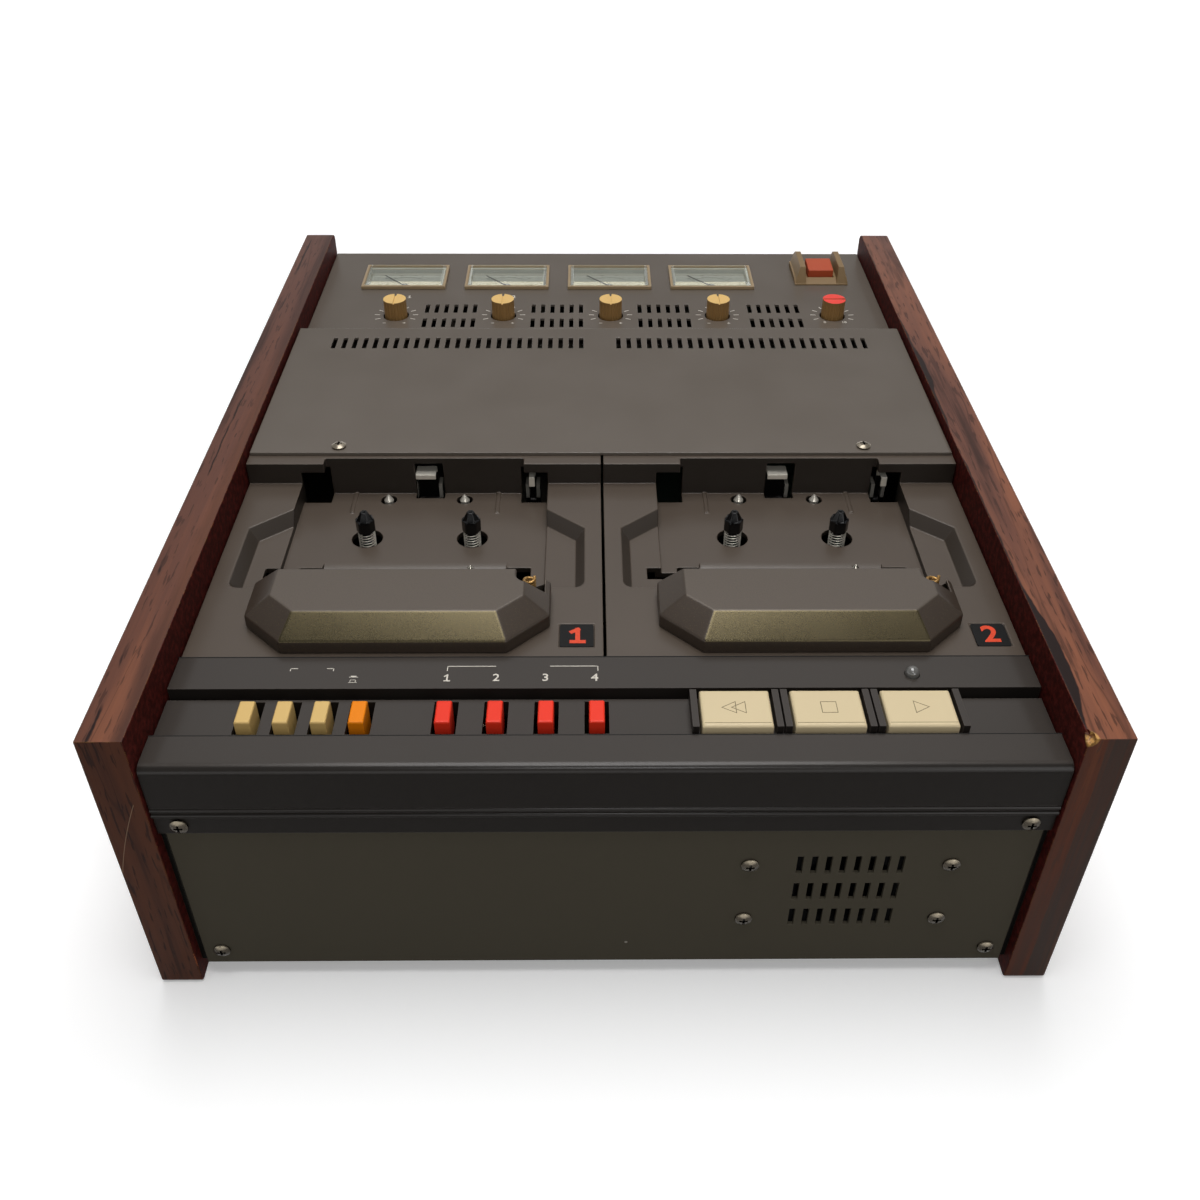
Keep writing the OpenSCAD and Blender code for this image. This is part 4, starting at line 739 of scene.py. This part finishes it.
def settle(piece, name, body, material):
    """Applies a finished piece's place and gives it its name, finish and body."""
    make_active([piece])
    bpy.ops.object.transform_apply()
    piece.name = name
    piece.data.name = name
    piece.data.materials.clear()
    piece.data.materials.append(material)
    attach(piece, body)


def joined(pieces):
    """One piece out of several."""
    first = make_active(pieces)
    if len(pieces) > 1:
        bpy.ops.object.join()
    return first


def cleaned(piece):
    """Merges doubled points and turns all faces outwards."""
    edit(piece)
    bpy.ops.mesh.remove_doubles(threshold=0.002 * MM)
    bpy.ops.mesh.normals_make_consistent(inside=False)
    leave_edit()
    return piece


def raise_face(height):
    """Extrudes the flat face of the piece in edit mode upwards into a closed plate."""
    bpy.ops.mesh.extrude_region_move(TRANSFORM_OT_translate={"value": (0, 0, height)})
    select_all()
    bpy.ops.mesh.normals_make_consistent(inside=False)
    leave_edit()


def plate(centre, size, height, corner=0.0):
    """A flat plate on a surface, with its corners rounded where asked."""
    deselect()
    bpy.ops.mesh.primitive_plane_add(size=1, location=centre)
    piece = bpy.context.object
    piece.scale = (*size, 1)
    bpy.ops.object.transform_apply(location=False, rotation=False)
    edit(piece)
    if corner:
        bpy.ops.mesh.bevel(offset=corner, segments=3, affect="VERTICES")
        select_all()
    raise_face(height)
    return piece


def printed_line(start, end, width, height):
    """A straight printed line between two points of a level surface."""
    run = Vector(end) - Vector(start)
    middle = (Vector(start) + Vector(end)) / 2
    piece = plate(middle, (run.length + width, width), height)
    piece.rotation_euler = (0, 0, math.atan2(run.y, run.x))
    make_active([piece])
    bpy.ops.object.transform_apply()
    return piece


def frame_mark(corners, radius, centre, line, height, turn):
    """An outlined triangle or square: a polygon inset by the line, its middle removed, raised."""
    deselect()
    bpy.ops.mesh.primitive_circle_add(
        vertices=corners, radius=radius, fill_type="NGON", location=centre, rotation=(0, 0, turn))
    piece = bpy.context.object
    edit(piece)
    bpy.ops.mesh.inset(thickness=line, depth=0)
    bpy.ops.mesh.delete(type="FACE")
    select_all()
    raise_face(height)
    bpy.ops.object.transform_apply()
    return piece


def figure_one(height, centre, thickness, stroke):
    """A bold figure one: a stem with a flag and a foot, each a little thicker than the last."""
    def at(x, y):
        return Vector(centre) + Vector((x * height, y * height, 0))
    reach = 0.5 - 0.5 * stroke / height
    stem = (at(0.04, -reach), at(0.04, reach))
    flag = (at(0.04, reach), at(-0.2, 0.24))
    foot = (at(-0.2, -reach), at(0.28, -reach))
    return joined([
        printed_line(*ends, stroke, thickness * (1 + 0.15 * i))
        for i, ends in enumerate((stem, flag, foot))])


def numeral(text, height, centre, thickness, weight=0.0):
    """A printed number: text made a mesh, then put in its place."""
    if text == "1":
        return figure_one(height, centre, thickness, 0.13 * height + 2 * weight)
    cap_share = 0.69
    deselect()
    bpy.ops.object.text_add(location=(0, 0, 0))
    piece = bpy.context.object
    piece.data.body = text
    piece.data.size = height / cap_share
    piece.data.align_x = "CENTER"
    piece.data.align_y = "CENTER"
    piece.data.extrude = thickness / 2
    piece.data.offset = weight
    piece.data.resolution_u = 4
    bpy.ops.object.convert(target="MESH")
    piece.location = Vector(centre) + Vector((0, 0, thickness / 2))
    bpy.ops.object.transform_apply()
    return cleaned(piece)


def wire(points, diameter):
    """A round wire along points, closed at both ends."""
    deselect()
    line = bpy.data.curves.new("wire", "CURVE")
    line.dimensions = "3D"
    line.bevel_depth = diameter / 2
    line.bevel_resolution = 2
    line.use_fill_caps = True
    spline = line.splines.new("POLY")
    spline.points.add(len(points) - 1)
    for point, place in zip(spline.points, points):
        point.co = (*place, 1)
    piece = bpy.data.objects.new("wire", line)
    bpy.context.scene.collection.objects.link(piece)
    make_active([piece])
    bpy.ops.object.convert(target="MESH")
    return cleaned(bpy.context.object)


def coil(low, high, turns, mean, thickness):
    """A wound spring standing on the origin's axis, its ends turned up and down."""
    steps = 18 * turns
    radius = mean / 2
    first = low + thickness
    rise = high - low - 2 * thickness
    points = [(radius, 0, low)]
    for step in range(steps + 1):
        turn = 2 * math.pi * turns * step / steps
        points.append((radius * math.cos(turn), radius * math.sin(turn), first + rise * step / steps))
    points.append((radius, 0, high))
    return wire(points, thickness)


def copied(piece, shift):
    """A copy of a piece with its own mesh, moved."""
    twin = piece.copy()
    twin.data = piece.data.copy()
    bpy.context.scene.collection.objects.link(twin)
    twin.data.transform(Matrix.Translation(shift))
    return twin


def node_copy(node):
    """A free copy of a CAD node, made active."""
    twin = copied(frame["nodes"][node], (0, 0, 0))
    twin.parent = None
    twin.matrix_world = Matrix.Identity(4)
    return make_active([twin])


def shaded(piece, least=29):
    """Smooths a piece's rounded edges and keeps its large faces flat."""
    make_active([piece])
    bpy.ops.object.shade_smooth_by_angle(angle=math.radians(least))
    return modified(piece, "WEIGHTED_NORMAL", mode="FACE_AREA", weight=100, keep_sharp=True)


def rounded_copy(node, width, least=30, smooth=29):
    """A copy of a CAD node, merged, with its edges sharper than a least angle rounded."""
    twin = node_copy(node)
    bpy.ops.mesh.customdata_custom_splitnormals_clear()
    edit(twin)
    bpy.ops.mesh.remove_doubles(threshold=0.004 * MM)
    bpy.ops.mesh.dissolve_limited(angle_limit=math.radians(0.5))
    leave_edit()
    modified(twin, "BEVEL", width=width, segments=2, limit_method="ANGLE",
             angle_limit=math.radians(least), use_clamp_overlap=False)
    return shaded(twin, smooth)


def stand_in(piece, node):
    """Shows a finished copy in the place of its CAD node."""
    source = frame["nodes"][node]
    settle(piece, f"{node}_shown", body_of(source)[0], source.material_slots[0].material)
    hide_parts(node)


def middle_top(node):
    """The middle of a node's upper side."""
    low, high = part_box(node)
    return Vector(((low.x + high.x) / 2, (low.y + high.y) / 2, high.z))


class DUPLICATOR_OT_case(bpy.types.Operator):
    """Gives the cheeks, panels, wells and decks their finishes"""

    bl_idname = "duplicator.case"
    bl_label = "Case finishes"

    def execute(self, context):
        case = context.scene.duplicator_case
        paint(["side_cheeks"], veneer(case))
        # Painted shade: the pan's front faces are darkened almost to black.
        paint(["chassis_pan"], satin(
            "pan_paint", case.pan, 0.55, 0.06, 0.4 * MM, painted_front_shade=0.95))
        paint(["front_panel"], satin(
            "panel_paint", case.panel, 0.6, 0.02, 0.4 * MM, mottle=0.05, dust=0.1,
            nick=Vector((7.6, -196.5, 18.3)) * MM))
        # Painted shade on the fascia's front faces, and a painted highlight along its edges from the
        # large edge factor.
        paint(["fascia"], satin(
            "fascia_plastic", case.fascia, 0.36, 0.05, mottle=0.05, edge=2.4, painted_front_shade=0.58,
            coat=0.5))
        # Painted shade on the wells' steep walls, and a painted highlight along their edges from the
        # large edge factor.
        paint(WELLS, satin("well_plastic", case.well, 0.38, 0.45, edge=3.2, painted_steep_shade=0.7))
        paint(["cover_plate", "meter_deck"], satin(
            "deck_paint", case.deck, 0.22, 0.5, 0.3 * MM, mottle=0.04))
        paint(["head_covers"], flaked(case))
        paint(["switch_guard"], satin("guard_plastic", case.guard, 0.5, 0.4, 0.7 * MM))
        paint(["case_screws"], screw_steel())
        return {"FINISHED"}


class DUPLICATOR_OT_controls(bpy.types.Operator):
    """Gives the keys, buttons, knobs and rocker their finishes"""

    bl_idname = "duplicator.controls"
    bl_label = "Control finishes"

    def execute(self, context):
        controls = context.scene.duplicator_controls
        paint(KEYS, satin("key_cream", controls.cream, 0.4, 0.4, mottle=0.03, edge=1.1, dust=0.1))
        for buttons, name, base, specular, edge in (
                (OPTION_BUTTONS[:3], "button_beige", controls.beige, 0.28, 1.15),
                (OPTION_BUTTONS[3:], "button_orange", controls.orange, 0.22, 1.15),
                (RECORD_BUTTONS, "button_red", controls.red, 0.3, 1.2)):
            paint(buttons, satin(name, base, 0.4, specular, 0.35 * MM, 0.04, edge, dust=0))
        paint(["power_rocker"], satin(
            "rocker_plastic", controls.rocker, 0.45, 0.4, mottle=0.06, edge=1.2))
        paint(LEVEL_KNOBS, knob_finish("knob_gold", controls.gold, controls.bronze, 0.45))
        paint(["monitor_knob"], knob_finish("knob_red", controls.knob_red, controls.bronze, 0.0))
        paint(["indicator_lamp"], smoky_lamp())
        return {"FINISHED"}


class DUPLICATOR_OT_transport(bpy.types.Operator):
    """Gives the tape transport and what lies inside the case their finishes"""

    bl_idname = "duplicator.transport"
    bl_label = "Transport finishes"

    def execute(self, context):
        # Painted shade: the spindles are near black, for the dark hollows round them under the tips.
        paint(four("reel_spindle"), satin("spindle_steel", tint(8, 8, 8), 0.7, 0.1, dust=0))
        paint(SPINDLE_TIPS, black_gloss("tip_black", tint(8, 8, 9), 0.16, 0.3))
        paint(both("capstan"), metal("capstan_steel", tint(196, 190, 178), 0.18))
        paint(both("head_bridge"), satin("bridge_paint", tint(62, 54, 42), 0.45, 0.3))
        paint(both("hold_down"), lever_steel("hold_down_steel", 110.4 * MM))
        paint(both("tab_lever"), lever_steel("tab_steel", 108.4 * MM))
        paint(both("pinch_roller"), satin("roller_rubber", tint(28, 27, 27), 0.7, 0.3))
        paint(["transport_plates"], plate_steel())
        paint(["deck_motors"], metal("motor_steel", tint(110, 108, 104), 0.4))
        paint(["circuit_boards"], satin("board_green", tint(24, 36, 26), 0.6, 0.3))
        paint(["transformer"], satin("core_iron", tint(62, 58, 54), 0.6, 0.3))
        paint(["power_inlet"], satin("inlet_black", tint(26, 26, 26), 0.5, 0.4))
        paint(["monitor_speaker"], satin("speaker_black", tint(7, 7, 7), 0.8, 0.05, dust=0))
        return {"FINISHED"}


class DUPLICATOR_OT_meters(bpy.types.Operator):
    """Makes the dial cards, cream strips and scales of the four meters"""

    bl_idname = "duplicator.meters"
    bl_label = "Meters"

    def execute(self, context):
        prints = context.scene.duplicator_print
        sheet = 2 * prints.film
        paint(["meter_cases"], meter_plastic(context.scene.duplicator_case))
        paint(["meter_lenses"], clear_lens())
        paint(four("meter_needle"), ink("needle_black", tint(30, 28, 28), 0.5))
        cards = []
        strips = []
        scales = []
        for knob in LEVEL_KNOBS:
            x = middle_top(knob).x
            cards.append(plate((x, 170 * MM, DIAL_FLOOR), (DIAL_WIDTH, 10.2 * MM), sheet))
            for y, level in ((NEEDLE_ROW, DIAL_STEP), (161.95 * MM, DIAL_FLOOR)):
                strips.append(plate((x, y, level), (DIAL_WIDTH, 5.7 * MM), sheet))
            scales += self.scale(Vector((x, NEEDLE_ROW, DIAL_FLOOR + sheet)), prints.film)
        settle(joined(cards), "dial_cards", CASE, ink("dial_card", prints.card))
        settle(joined(strips), "dial_strips", CASE,
               ink("dial_strip", prints.strip, 0.5))
        settle(joined(scales), "dial_scales", CASE, ink("dial_ink", prints.ink))
        return {"FINISHED"}

    def scale(self, pivot, film):
        """An arc, its ticks and plain numbers round a needle's pivot."""
        def at(radius, degrees):
            turn = math.radians(degrees)
            return pivot + Vector((radius * math.sin(turn), radius * math.cos(turn), 0)) * MM
        width = 0.2 * MM
        marks = []
        for start in range(-42, 42, 7):
            marks.append(printed_line(at(14, start), at(14, start + 7), width, film))
        for degrees in range(-42, 43, 14):
            marks.append(printed_line(at(14, degrees), at(15.2, degrees), width, film))
        for degrees, text in ((-42, "20"), (-14, "10"), (14, "5"), (28, "0"), (42, "3")):
            marks.append(numeral(text, 1.3 * MM, at(16.9, degrees), film))
        return marks


class DUPLICATOR_OT_prints(bpy.types.Operator):
    """Prints the numerals, brackets and ticks on the fascia and the rear deck, and two lines of
    painted shadow
    """

    bl_idname = "duplicator.prints"
    bl_label = "Prints"

    def execute(self, context):
        prints = context.scene.duplicator_print
        white = ink("white_print", prints.white)
        settle(joined(self.fascia_marks(prints)), "fascia_print", CASE, white)
        settle(joined(self.deck_marks(prints)), "deck_print", CASE, white)
        # Painted shadow: thin black lines where shade falls, in the gap between fascia and wells and
        # behind the brow's rear edge.
        gap_shadows = []
        for y, width in ((-145.6 * MM, 0.5 * MM), (-183.75 * MM, 0.35 * MM)):
            ends = [Vector((x, y, FASCIA_TOP)) for x in (-147.6 * MM, 147.6 * MM)]
            gap_shadows.append(printed_line(*ends, width, 0.5 * prints.film))
        black = ink("gap_shadow_black", tint(12, 11, 10), 0.7)
        settle(joined(gap_shadows), "gap_shadow_lines", CASE, black)
        return {"FINISHED"}

    def fascia_marks(self, prints):
        """Numerals over the red buttons, brackets and a small symbol."""
        film = prints.film
        thin = 0.2 * MM

        def path(*points, width=prints.line):
            places = [(x * MM, y * MM, FASCIA_TOP) for x, y in points]
            return [printed_line(*ends, width, film) for ends in zip(places, places[1:])]
        marks = []
        for button in RECORD_BUTTONS:
            place = (middle_top(button).x - 0.6 * MM, -156.4 * MM, FASCIA_TOP)
            marks.append(numeral(button[-1], prints.digit, place, film, 0.06 * MM))
        marks += path((-54.2, -152.7), (-54.2, -150.5), (-37.8, -150.5))
        marks += path((-2.6, -152.7), (-2.6, -150.5), (-18.9, -150.5))
        marks += path((-107.9, -152.6), (-107.9, -151.5), (-105.6, -151.5))
        marks += path((-93.2, -152.6), (-93.2, -151.5), (-95.4, -151.5))
        marks += path((-87.2, -155.9), (-84.4, -155.9), width=thin)
        marks += path((-86.5, -155.5), (-85.1, -155.5), width=0.5 * MM)
        marks += path((-87.2, -158.6), (-84.4, -158.6), width=thin)
        marks += path((-86.7, -158.5), (-86.7, -157.3), (-84.9, -157.3), (-84.9, -158.5), width=thin)
        return marks

    def deck_marks(self, prints):
        """Ticks, signs and numbers round the knobs."""
        film = prints.film
        bold = 0.05 * MM
        level, upright = Vector((0.6, 0, 0)) * MM, Vector((0, 0.6, 0)) * MM
        marks = []
        for name in [*LEVEL_KNOBS, "monitor_knob"]:
            centre = Vector((middle_top(name).x, KNOB_ROW, DECK_TOP))
            for i in range(1, 10):
                turn = math.radians(233 - 28.6 * i)
                ray = Vector((math.cos(turn), math.sin(turn), 0)) * MM
                marks.append(printed_line(centre + 8.7 * ray, centre + 11 * ray, 0.4 * MM, film))
            if name == "monitor_knob":
                for text, x in (("0", -4.9), ("10", 5.0)):
                    place = centre + Vector((x, -7.8, 0)) * MM
                    marks.append(numeral(text, 1.8 * MM, place, film, bold))
                continue
            minus, plus = [centre + Vector((x, -8.9, 0)) * MM for x in (-5.1, 5.1)]
            for place, reach in ((minus, level), (plus, level), (plus, upright)):
                marks.append(printed_line(place - reach, place + reach, 0.35 * MM, film))
            place = centre + Vector((4.3, 22.2, 0)) * MM
            marks.append(numeral(name[-1], prints.knob_digit, place, film, bold))
        return marks


class DUPLICATOR_OT_badges(bpy.types.Operator):
    """Lays a dark plate with a numeral into the recess of each well"""

    bl_idname = "duplicator.badges"
    bl_label = "Badges"

    def execute(self, context):
        prints = context.scene.duplicator_print
        thickness = 0.45 * MM
        plates = []
        digits = []
        for text, x in (("1", -10 * MM), ("2", 138 * MM)):
            centre = Vector((x, BADGE_ROW, BADGE_FLOOR))
            plates.append(plate(centre, (12.1 * MM, 12.1 * MM), thickness, 0.9 * MM))
            lifted = centre + Vector((0, 0, thickness))
            digits.append(numeral(text, prints.badge_digit, lifted, prints.film, 0.3 * MM))
        dark = black_gloss("badge_plate", prints.badge, 0.5, 0.1)
        settle(joined(plates), "badge_plates", CASE, dark)
        red = ink("badge_print", prints.mark_red, 0.45)
        settle(joined(digits), "badge_numerals", CASE, red)
        return {"FINISHED"}


class DUPLICATOR_OT_key_marks(bpy.types.Operator):
    """Draws the tape symbols and the front line on the three keys"""

    bl_idname = "duplicator.key_marks"
    bl_label = "Key marks"

    def execute(self, context):
        prints = context.scene.duplicator_print
        dark = ink("key_marks", prints.engraving, 0.5)
        film = 0.5 * prints.film
        left, right, level = [math.radians(degrees) for degrees in (90, -90, 45)]
        # Corners, radius and shift in millimetres, and turn of each outline.
        shapes = {
            "rewind_key": [(3, 3.3, 1.6, left), (3, 3.3, -1.6, left)],
            "stop_key": [(4, 3.75, 0.4, level)],
            "copy_key": [(3, 3.4, 0.0, right)],
        }
        for key, outlines in shapes.items():
            top = middle_top(key)
            marks = []
            for corners, radius, shift, turn in outlines:
                centre = top + Vector((shift, 0.1, 0)) * MM
                marks.append(frame_mark(corners, radius * MM, centre, 0.22 * MM, film, turn))
            low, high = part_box(key)
            y = low.y + 1.5 * MM
            ends = [Vector((x, y, top.z)) for x in (low.x + 0.9 * MM, high.x - 0.9 * MM)]
            marks.append(printed_line(*ends, 0.18 * MM, film))
            settle(joined(marks), f"{key}_marks", key, dark)
        return {"FINISHED"}


class DUPLICATOR_OT_arm_springs(bpy.types.Operator):
    """Winds the brass springs round the arm posts"""

    bl_idname = "duplicator.arm_springs"
    bl_label = "Arm springs"

    def execute(self, context):
        sizes = context.scene.duplicator_fittings
        brass = wire_steel("spring_brass", tint(178, 138, 80))
        first = coil(sizes.arm_low, sizes.arm_high, sizes.arm_turns, sizes.arm_mean, sizes.arm_wire)
        for name, x in zip(both("arm_spring"), (-27.4 * MM, 120.6 * MM)):
            settle(copied(first, (x, -111.4 * MM, 0)), name, CASE, brass)
        bpy.data.objects.remove(first)
        return {"FINISHED"}


class DUPLICATOR_OT_cheeks(bpy.types.Operator):
    """Rounds the cheeks' edges and breaks one corner off"""

    bl_idname = "duplicator.cheeks"
    bl_label = "Cheeks"

    def execute(self, context):
        case = context.scene.duplicator_case
        cheeks = rounded_copy("side_cheeks", case.cheek_edge)
        deselect()
        bpy.ops.mesh.primitive_ico_sphere_add(
            subdivisions=3, radius=case.chip, location=(CHEEK_INSIDE, -199.2 * MM, 125 * MM))
        crumb = bpy.context.object
        crumb.scale = (0.95, 1.35, 1.0)
        bpy.ops.object.transform_apply(location=False, rotation=False)
        edit(crumb)
        bpy.ops.transform.vertex_random(offset=0.45 * MM, uniform=1.0, seed=4)
        leave_edit()
        make_active([cheeks])
        modified(cheeks, "BOOLEAN", operation="DIFFERENCE", solver="EXACT", object=crumb)
        bpy.data.objects.remove(crumb)
        stand_in(shaded(cheeks), "side_cheeks")
        return {"FINISHED"}


class DUPLICATOR_OT_rounded_copies(bpy.types.Operator):
    """Shows the visible mouldings as copies with rounded edges"""

    bl_idname = "duplicator.rounded_copies"
    bl_label = "Rounded copies"

    def execute(self, context):
        for node, (width, slot) in ROUNDED.items():
            stand_in(rounded_copy(node, width * MM), node)
        hoods = rounded_copy("head_covers", 0.7 * MM, least=12, smooth=60)
        stand_in(hoods, "head_covers")
        return {"FINISHED"}


class DUPLICATOR_OT_tips(bpy.types.Operator):
    """Rounds the moulded spindle tips all over"""

    bl_idname = "duplicator.tips"
    bl_label = "Spindle tips"

    def execute(self, context):
        for node in SPINDLE_TIPS:
            tip = node_copy(node)
            self.lift_shoulder(tip)
            modified(tip, "REMESH", mode="VOXEL", voxel_size=0.16 * MM)
            modified(tip, "SMOOTH", factor=0.5, iterations=5)
            bpy.ops.object.shade_smooth()
            stand_in(tip, node)
        return {"FINISHED"}

    def lift_shoulder(self, tip):
        """Moves the ring where the straight sides end upwards."""
        edit(tip)
        bpy.ops.mesh.select_mode(type="VERT")
        bpy.ops.mesh.select_all(action="DESELECT")
        leave_edit()
        for point in tip.data.vertices:
            point.select = abs(point.co.z - TIP_SHOULDER) < 0.1 * MM
        bpy.ops.object.mode_set(mode="EDIT")
        bpy.ops.transform.translate(value=(0, 0, SHOULDER_LIFT))
        leave_edit()


class DUPLICATOR_OT_tip_springs(bpy.types.Operator):
    """Winds the four springs under the spindle tips"""

    bl_idname = "duplicator.tip_springs"
    bl_label = "Tip springs"

    def execute(self, context):
        sizes = context.scene.duplicator_fittings
        low, high = sizes.spring_low, sizes.spring_high
        steel = wire_steel("spring_steel", tint(236, 230, 216))
        first = coil(low, high, sizes.spring_turns, sizes.spring_mean, sizes.spring_wire)
        for i, node in enumerate(SPINDLE_TIPS, 1):
            tip = middle_top(node)
            spring = copied(first, (tip.x, tip.y, 0))
            settle(spring, f"tip_spring_{i}", f"reel_spindle_{i}", steel)
            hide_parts("tip_springs")
            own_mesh(spring)
        bpy.data.objects.remove(first)
        return {"FINISHED"}


class DUPLICATOR_OT_stage(bpy.types.Operator):
    """Sets up the floor, the lights, the surroundings and the camera"""

    bl_idname = "duplicator.stage"
    bl_label = "Stage"

    def execute(self, context):
        stage = context.scene.duplicator_stage
        self.lay_floor(stage)
        for name, place, tilt, swing, size, power in (
                ("top_light", (0, 0.02, 1.45), 0, 0, (0.8, 1.0), stage.top_power),
                ("sheen_light", (0, -0.5, 1.45), -14, 0, (0.3, 0.4), stage.sheen_power),
                ("front_light", (0.75, -1.65, 0.75), 68, 24, (0.5, 0.9), stage.front_power),
                ("window_light", (0.05, -1.0, 0.95), 46, 0, (0.24, 0.2), stage.window_power),
                ("back_light", (0, 2.0, 2.25), -43, 0, (2.6, 1.3), stage.back_power)):
            self.hang_light(name, place, math.radians(tilt), math.radians(swing), size, power)
        self.set_surroundings(context.scene, stage)
        self.set_camera(context.scene, stage)
        return {"FINISHED"}

    def lay_floor(self, stage):
        """A round floor with a low wall, white to the camera and in mirrors."""
        radius, height, below = 6.0, 1.6, -0.2 * MM
        deselect()
        bpy.ops.mesh.primitive_circle_add(
            vertices=96, radius=radius, fill_type="NGON", location=(0, 0, below))
        floor = bpy.context.object
        deselect()
        bpy.ops.mesh.primitive_cylinder_add(
            vertices=96, radius=radius, depth=height, end_fill_type="NOTHING",
            location=(0, 0, below + height / 2))
        floor = cleaned(joined([floor, bpy.context.object]))
        floor.name = "floor"
        finish = Finish("pale_floor", 0.0, roughness=0.9, emission_strength=1)
        camera, mirror, glass = [
            finish.node("LightPath", out=f"Is {kind} Ray")
            for kind in ("Camera", "Glossy", "Transmission")]
        seen = camera.larger(mirror).larger(glass)
        far = finish.away((0, 0, 0)).ease(0.4, 1.0)
        tone = finish.mix(seen, stage.floor_bounce, stage.floor)
        unseen = finish.mix(far, (0, 0, 0), stage.world)
        glow = finish.mix(seen, unseen, finish.mix(far, stage.floor_glow, stage.floor))
        floor.data.materials.append(finish.surface(base_color=tone, emission_color=glow))

    def hang_light(self, name, place, tilt, swing, size, power):
        deselect()
        bpy.ops.object.light_add(type="AREA", location=place, rotation=(tilt, 0, swing))
        lamp = bpy.context.object
        lamp.name = name
        lamp.data.shape = "RECTANGLE"
        lamp.data.size, lamp.data.size_y = size
        lamp.data.energy = power

    def set_surroundings(self, scene, stage):
        world = bpy.data.worlds.new("plain_surroundings")
        world.use_nodes = True
        world.node_tree.nodes["Background"].inputs["Color"].default_value = (*stage.world, 1)
        scene.world = world
        scene.view_settings.view_transform = "Standard"

    def set_camera(self, scene, stage):
        lens = bpy.data.cameras.new("camera")
        lens.lens = stage.lens
        lens.sensor_width = 36
        lens.clip_start = 0.01
        ahead = Vector((math.sin(stage.yaw) * math.cos(stage.pitch),
                        math.cos(stage.yaw) * math.cos(stage.pitch), -math.sin(stage.pitch)))
        right = Vector((math.cos(stage.yaw), -math.sin(stage.yaw), 0))
        above = right.cross(ahead)
        lean_right = math.cos(stage.roll) * right + math.sin(stage.roll) * above
        lean_above = math.cos(stage.roll) * above - math.sin(stage.roll) * right
        turn = Matrix((lean_right, lean_above, -ahead)).transposed().to_4x4()
        camera = bpy.data.objects.new("camera", lens)
        camera.matrix_world = Matrix.Translation(Vector(stage.camera)) @ turn
        scene.collection.objects.link(camera)
        scene.camera = camera


SETTINGS = {
    "duplicator_case": CaseSettings,
    "duplicator_controls": ControlSettings,
    "duplicator_print": PrintSettings,
    "duplicator_fittings": FittingSettings,
    "duplicator_stage": StageSettings,
}
OPERATORS = [
    DUPLICATOR_OT_stage,
    DUPLICATOR_OT_case,
    DUPLICATOR_OT_controls,
    DUPLICATOR_OT_transport,
    DUPLICATOR_OT_meters,
    DUPLICATOR_OT_prints,
    DUPLICATOR_OT_badges,
    DUPLICATOR_OT_key_marks,
    DUPLICATOR_OT_tip_springs,
    DUPLICATOR_OT_arm_springs,
    DUPLICATOR_OT_cheeks,
    DUPLICATOR_OT_rounded_copies,
    DUPLICATOR_OT_tips,
]


class DUPLICATOR_PT_panel(bpy.types.Panel):
    """Lists the steps and the settings"""

    bl_label = "Duplicator"
    bl_idname = "DUPLICATOR_PT_panel"
    bl_space_type = "VIEW_3D"
    bl_region_type = "UI"
    bl_category = "Duplicator"

    def draw(self, context):
        for operator in OPERATORS:
            self.layout.operator(operator.bl_idname)
        for name, group in SETTINGS.items():
            box = self.layout.box()
            for setting in group.__annotations__:
                box.prop(getattr(context.scene, name), setting)


def register():
    for group in SETTINGS.values():
        bpy.utils.register_class(group)
    for name, group in SETTINGS.items():
        setattr(bpy.types.Scene, name, bpy.props.PointerProperty(type=group))
    for operator in [*OPERATORS, DUPLICATOR_PT_panel]:
        bpy.utils.register_class(operator)


def unregister():
    for operator in [DUPLICATOR_PT_panel, *reversed(OPERATORS)]:
        bpy.utils.unregister_class(operator)
    for name, group in SETTINGS.items():
        delattr(bpy.types.Scene, name)
        bpy.utils.unregister_class(group)


def main():
    register()
    deselect()
    for operator in OPERATORS:
        step = operator.bl_idname.split(".")[1]
        getattr(bpy.ops.duplicator, step)()


if __name__ == "__main__":
    main()
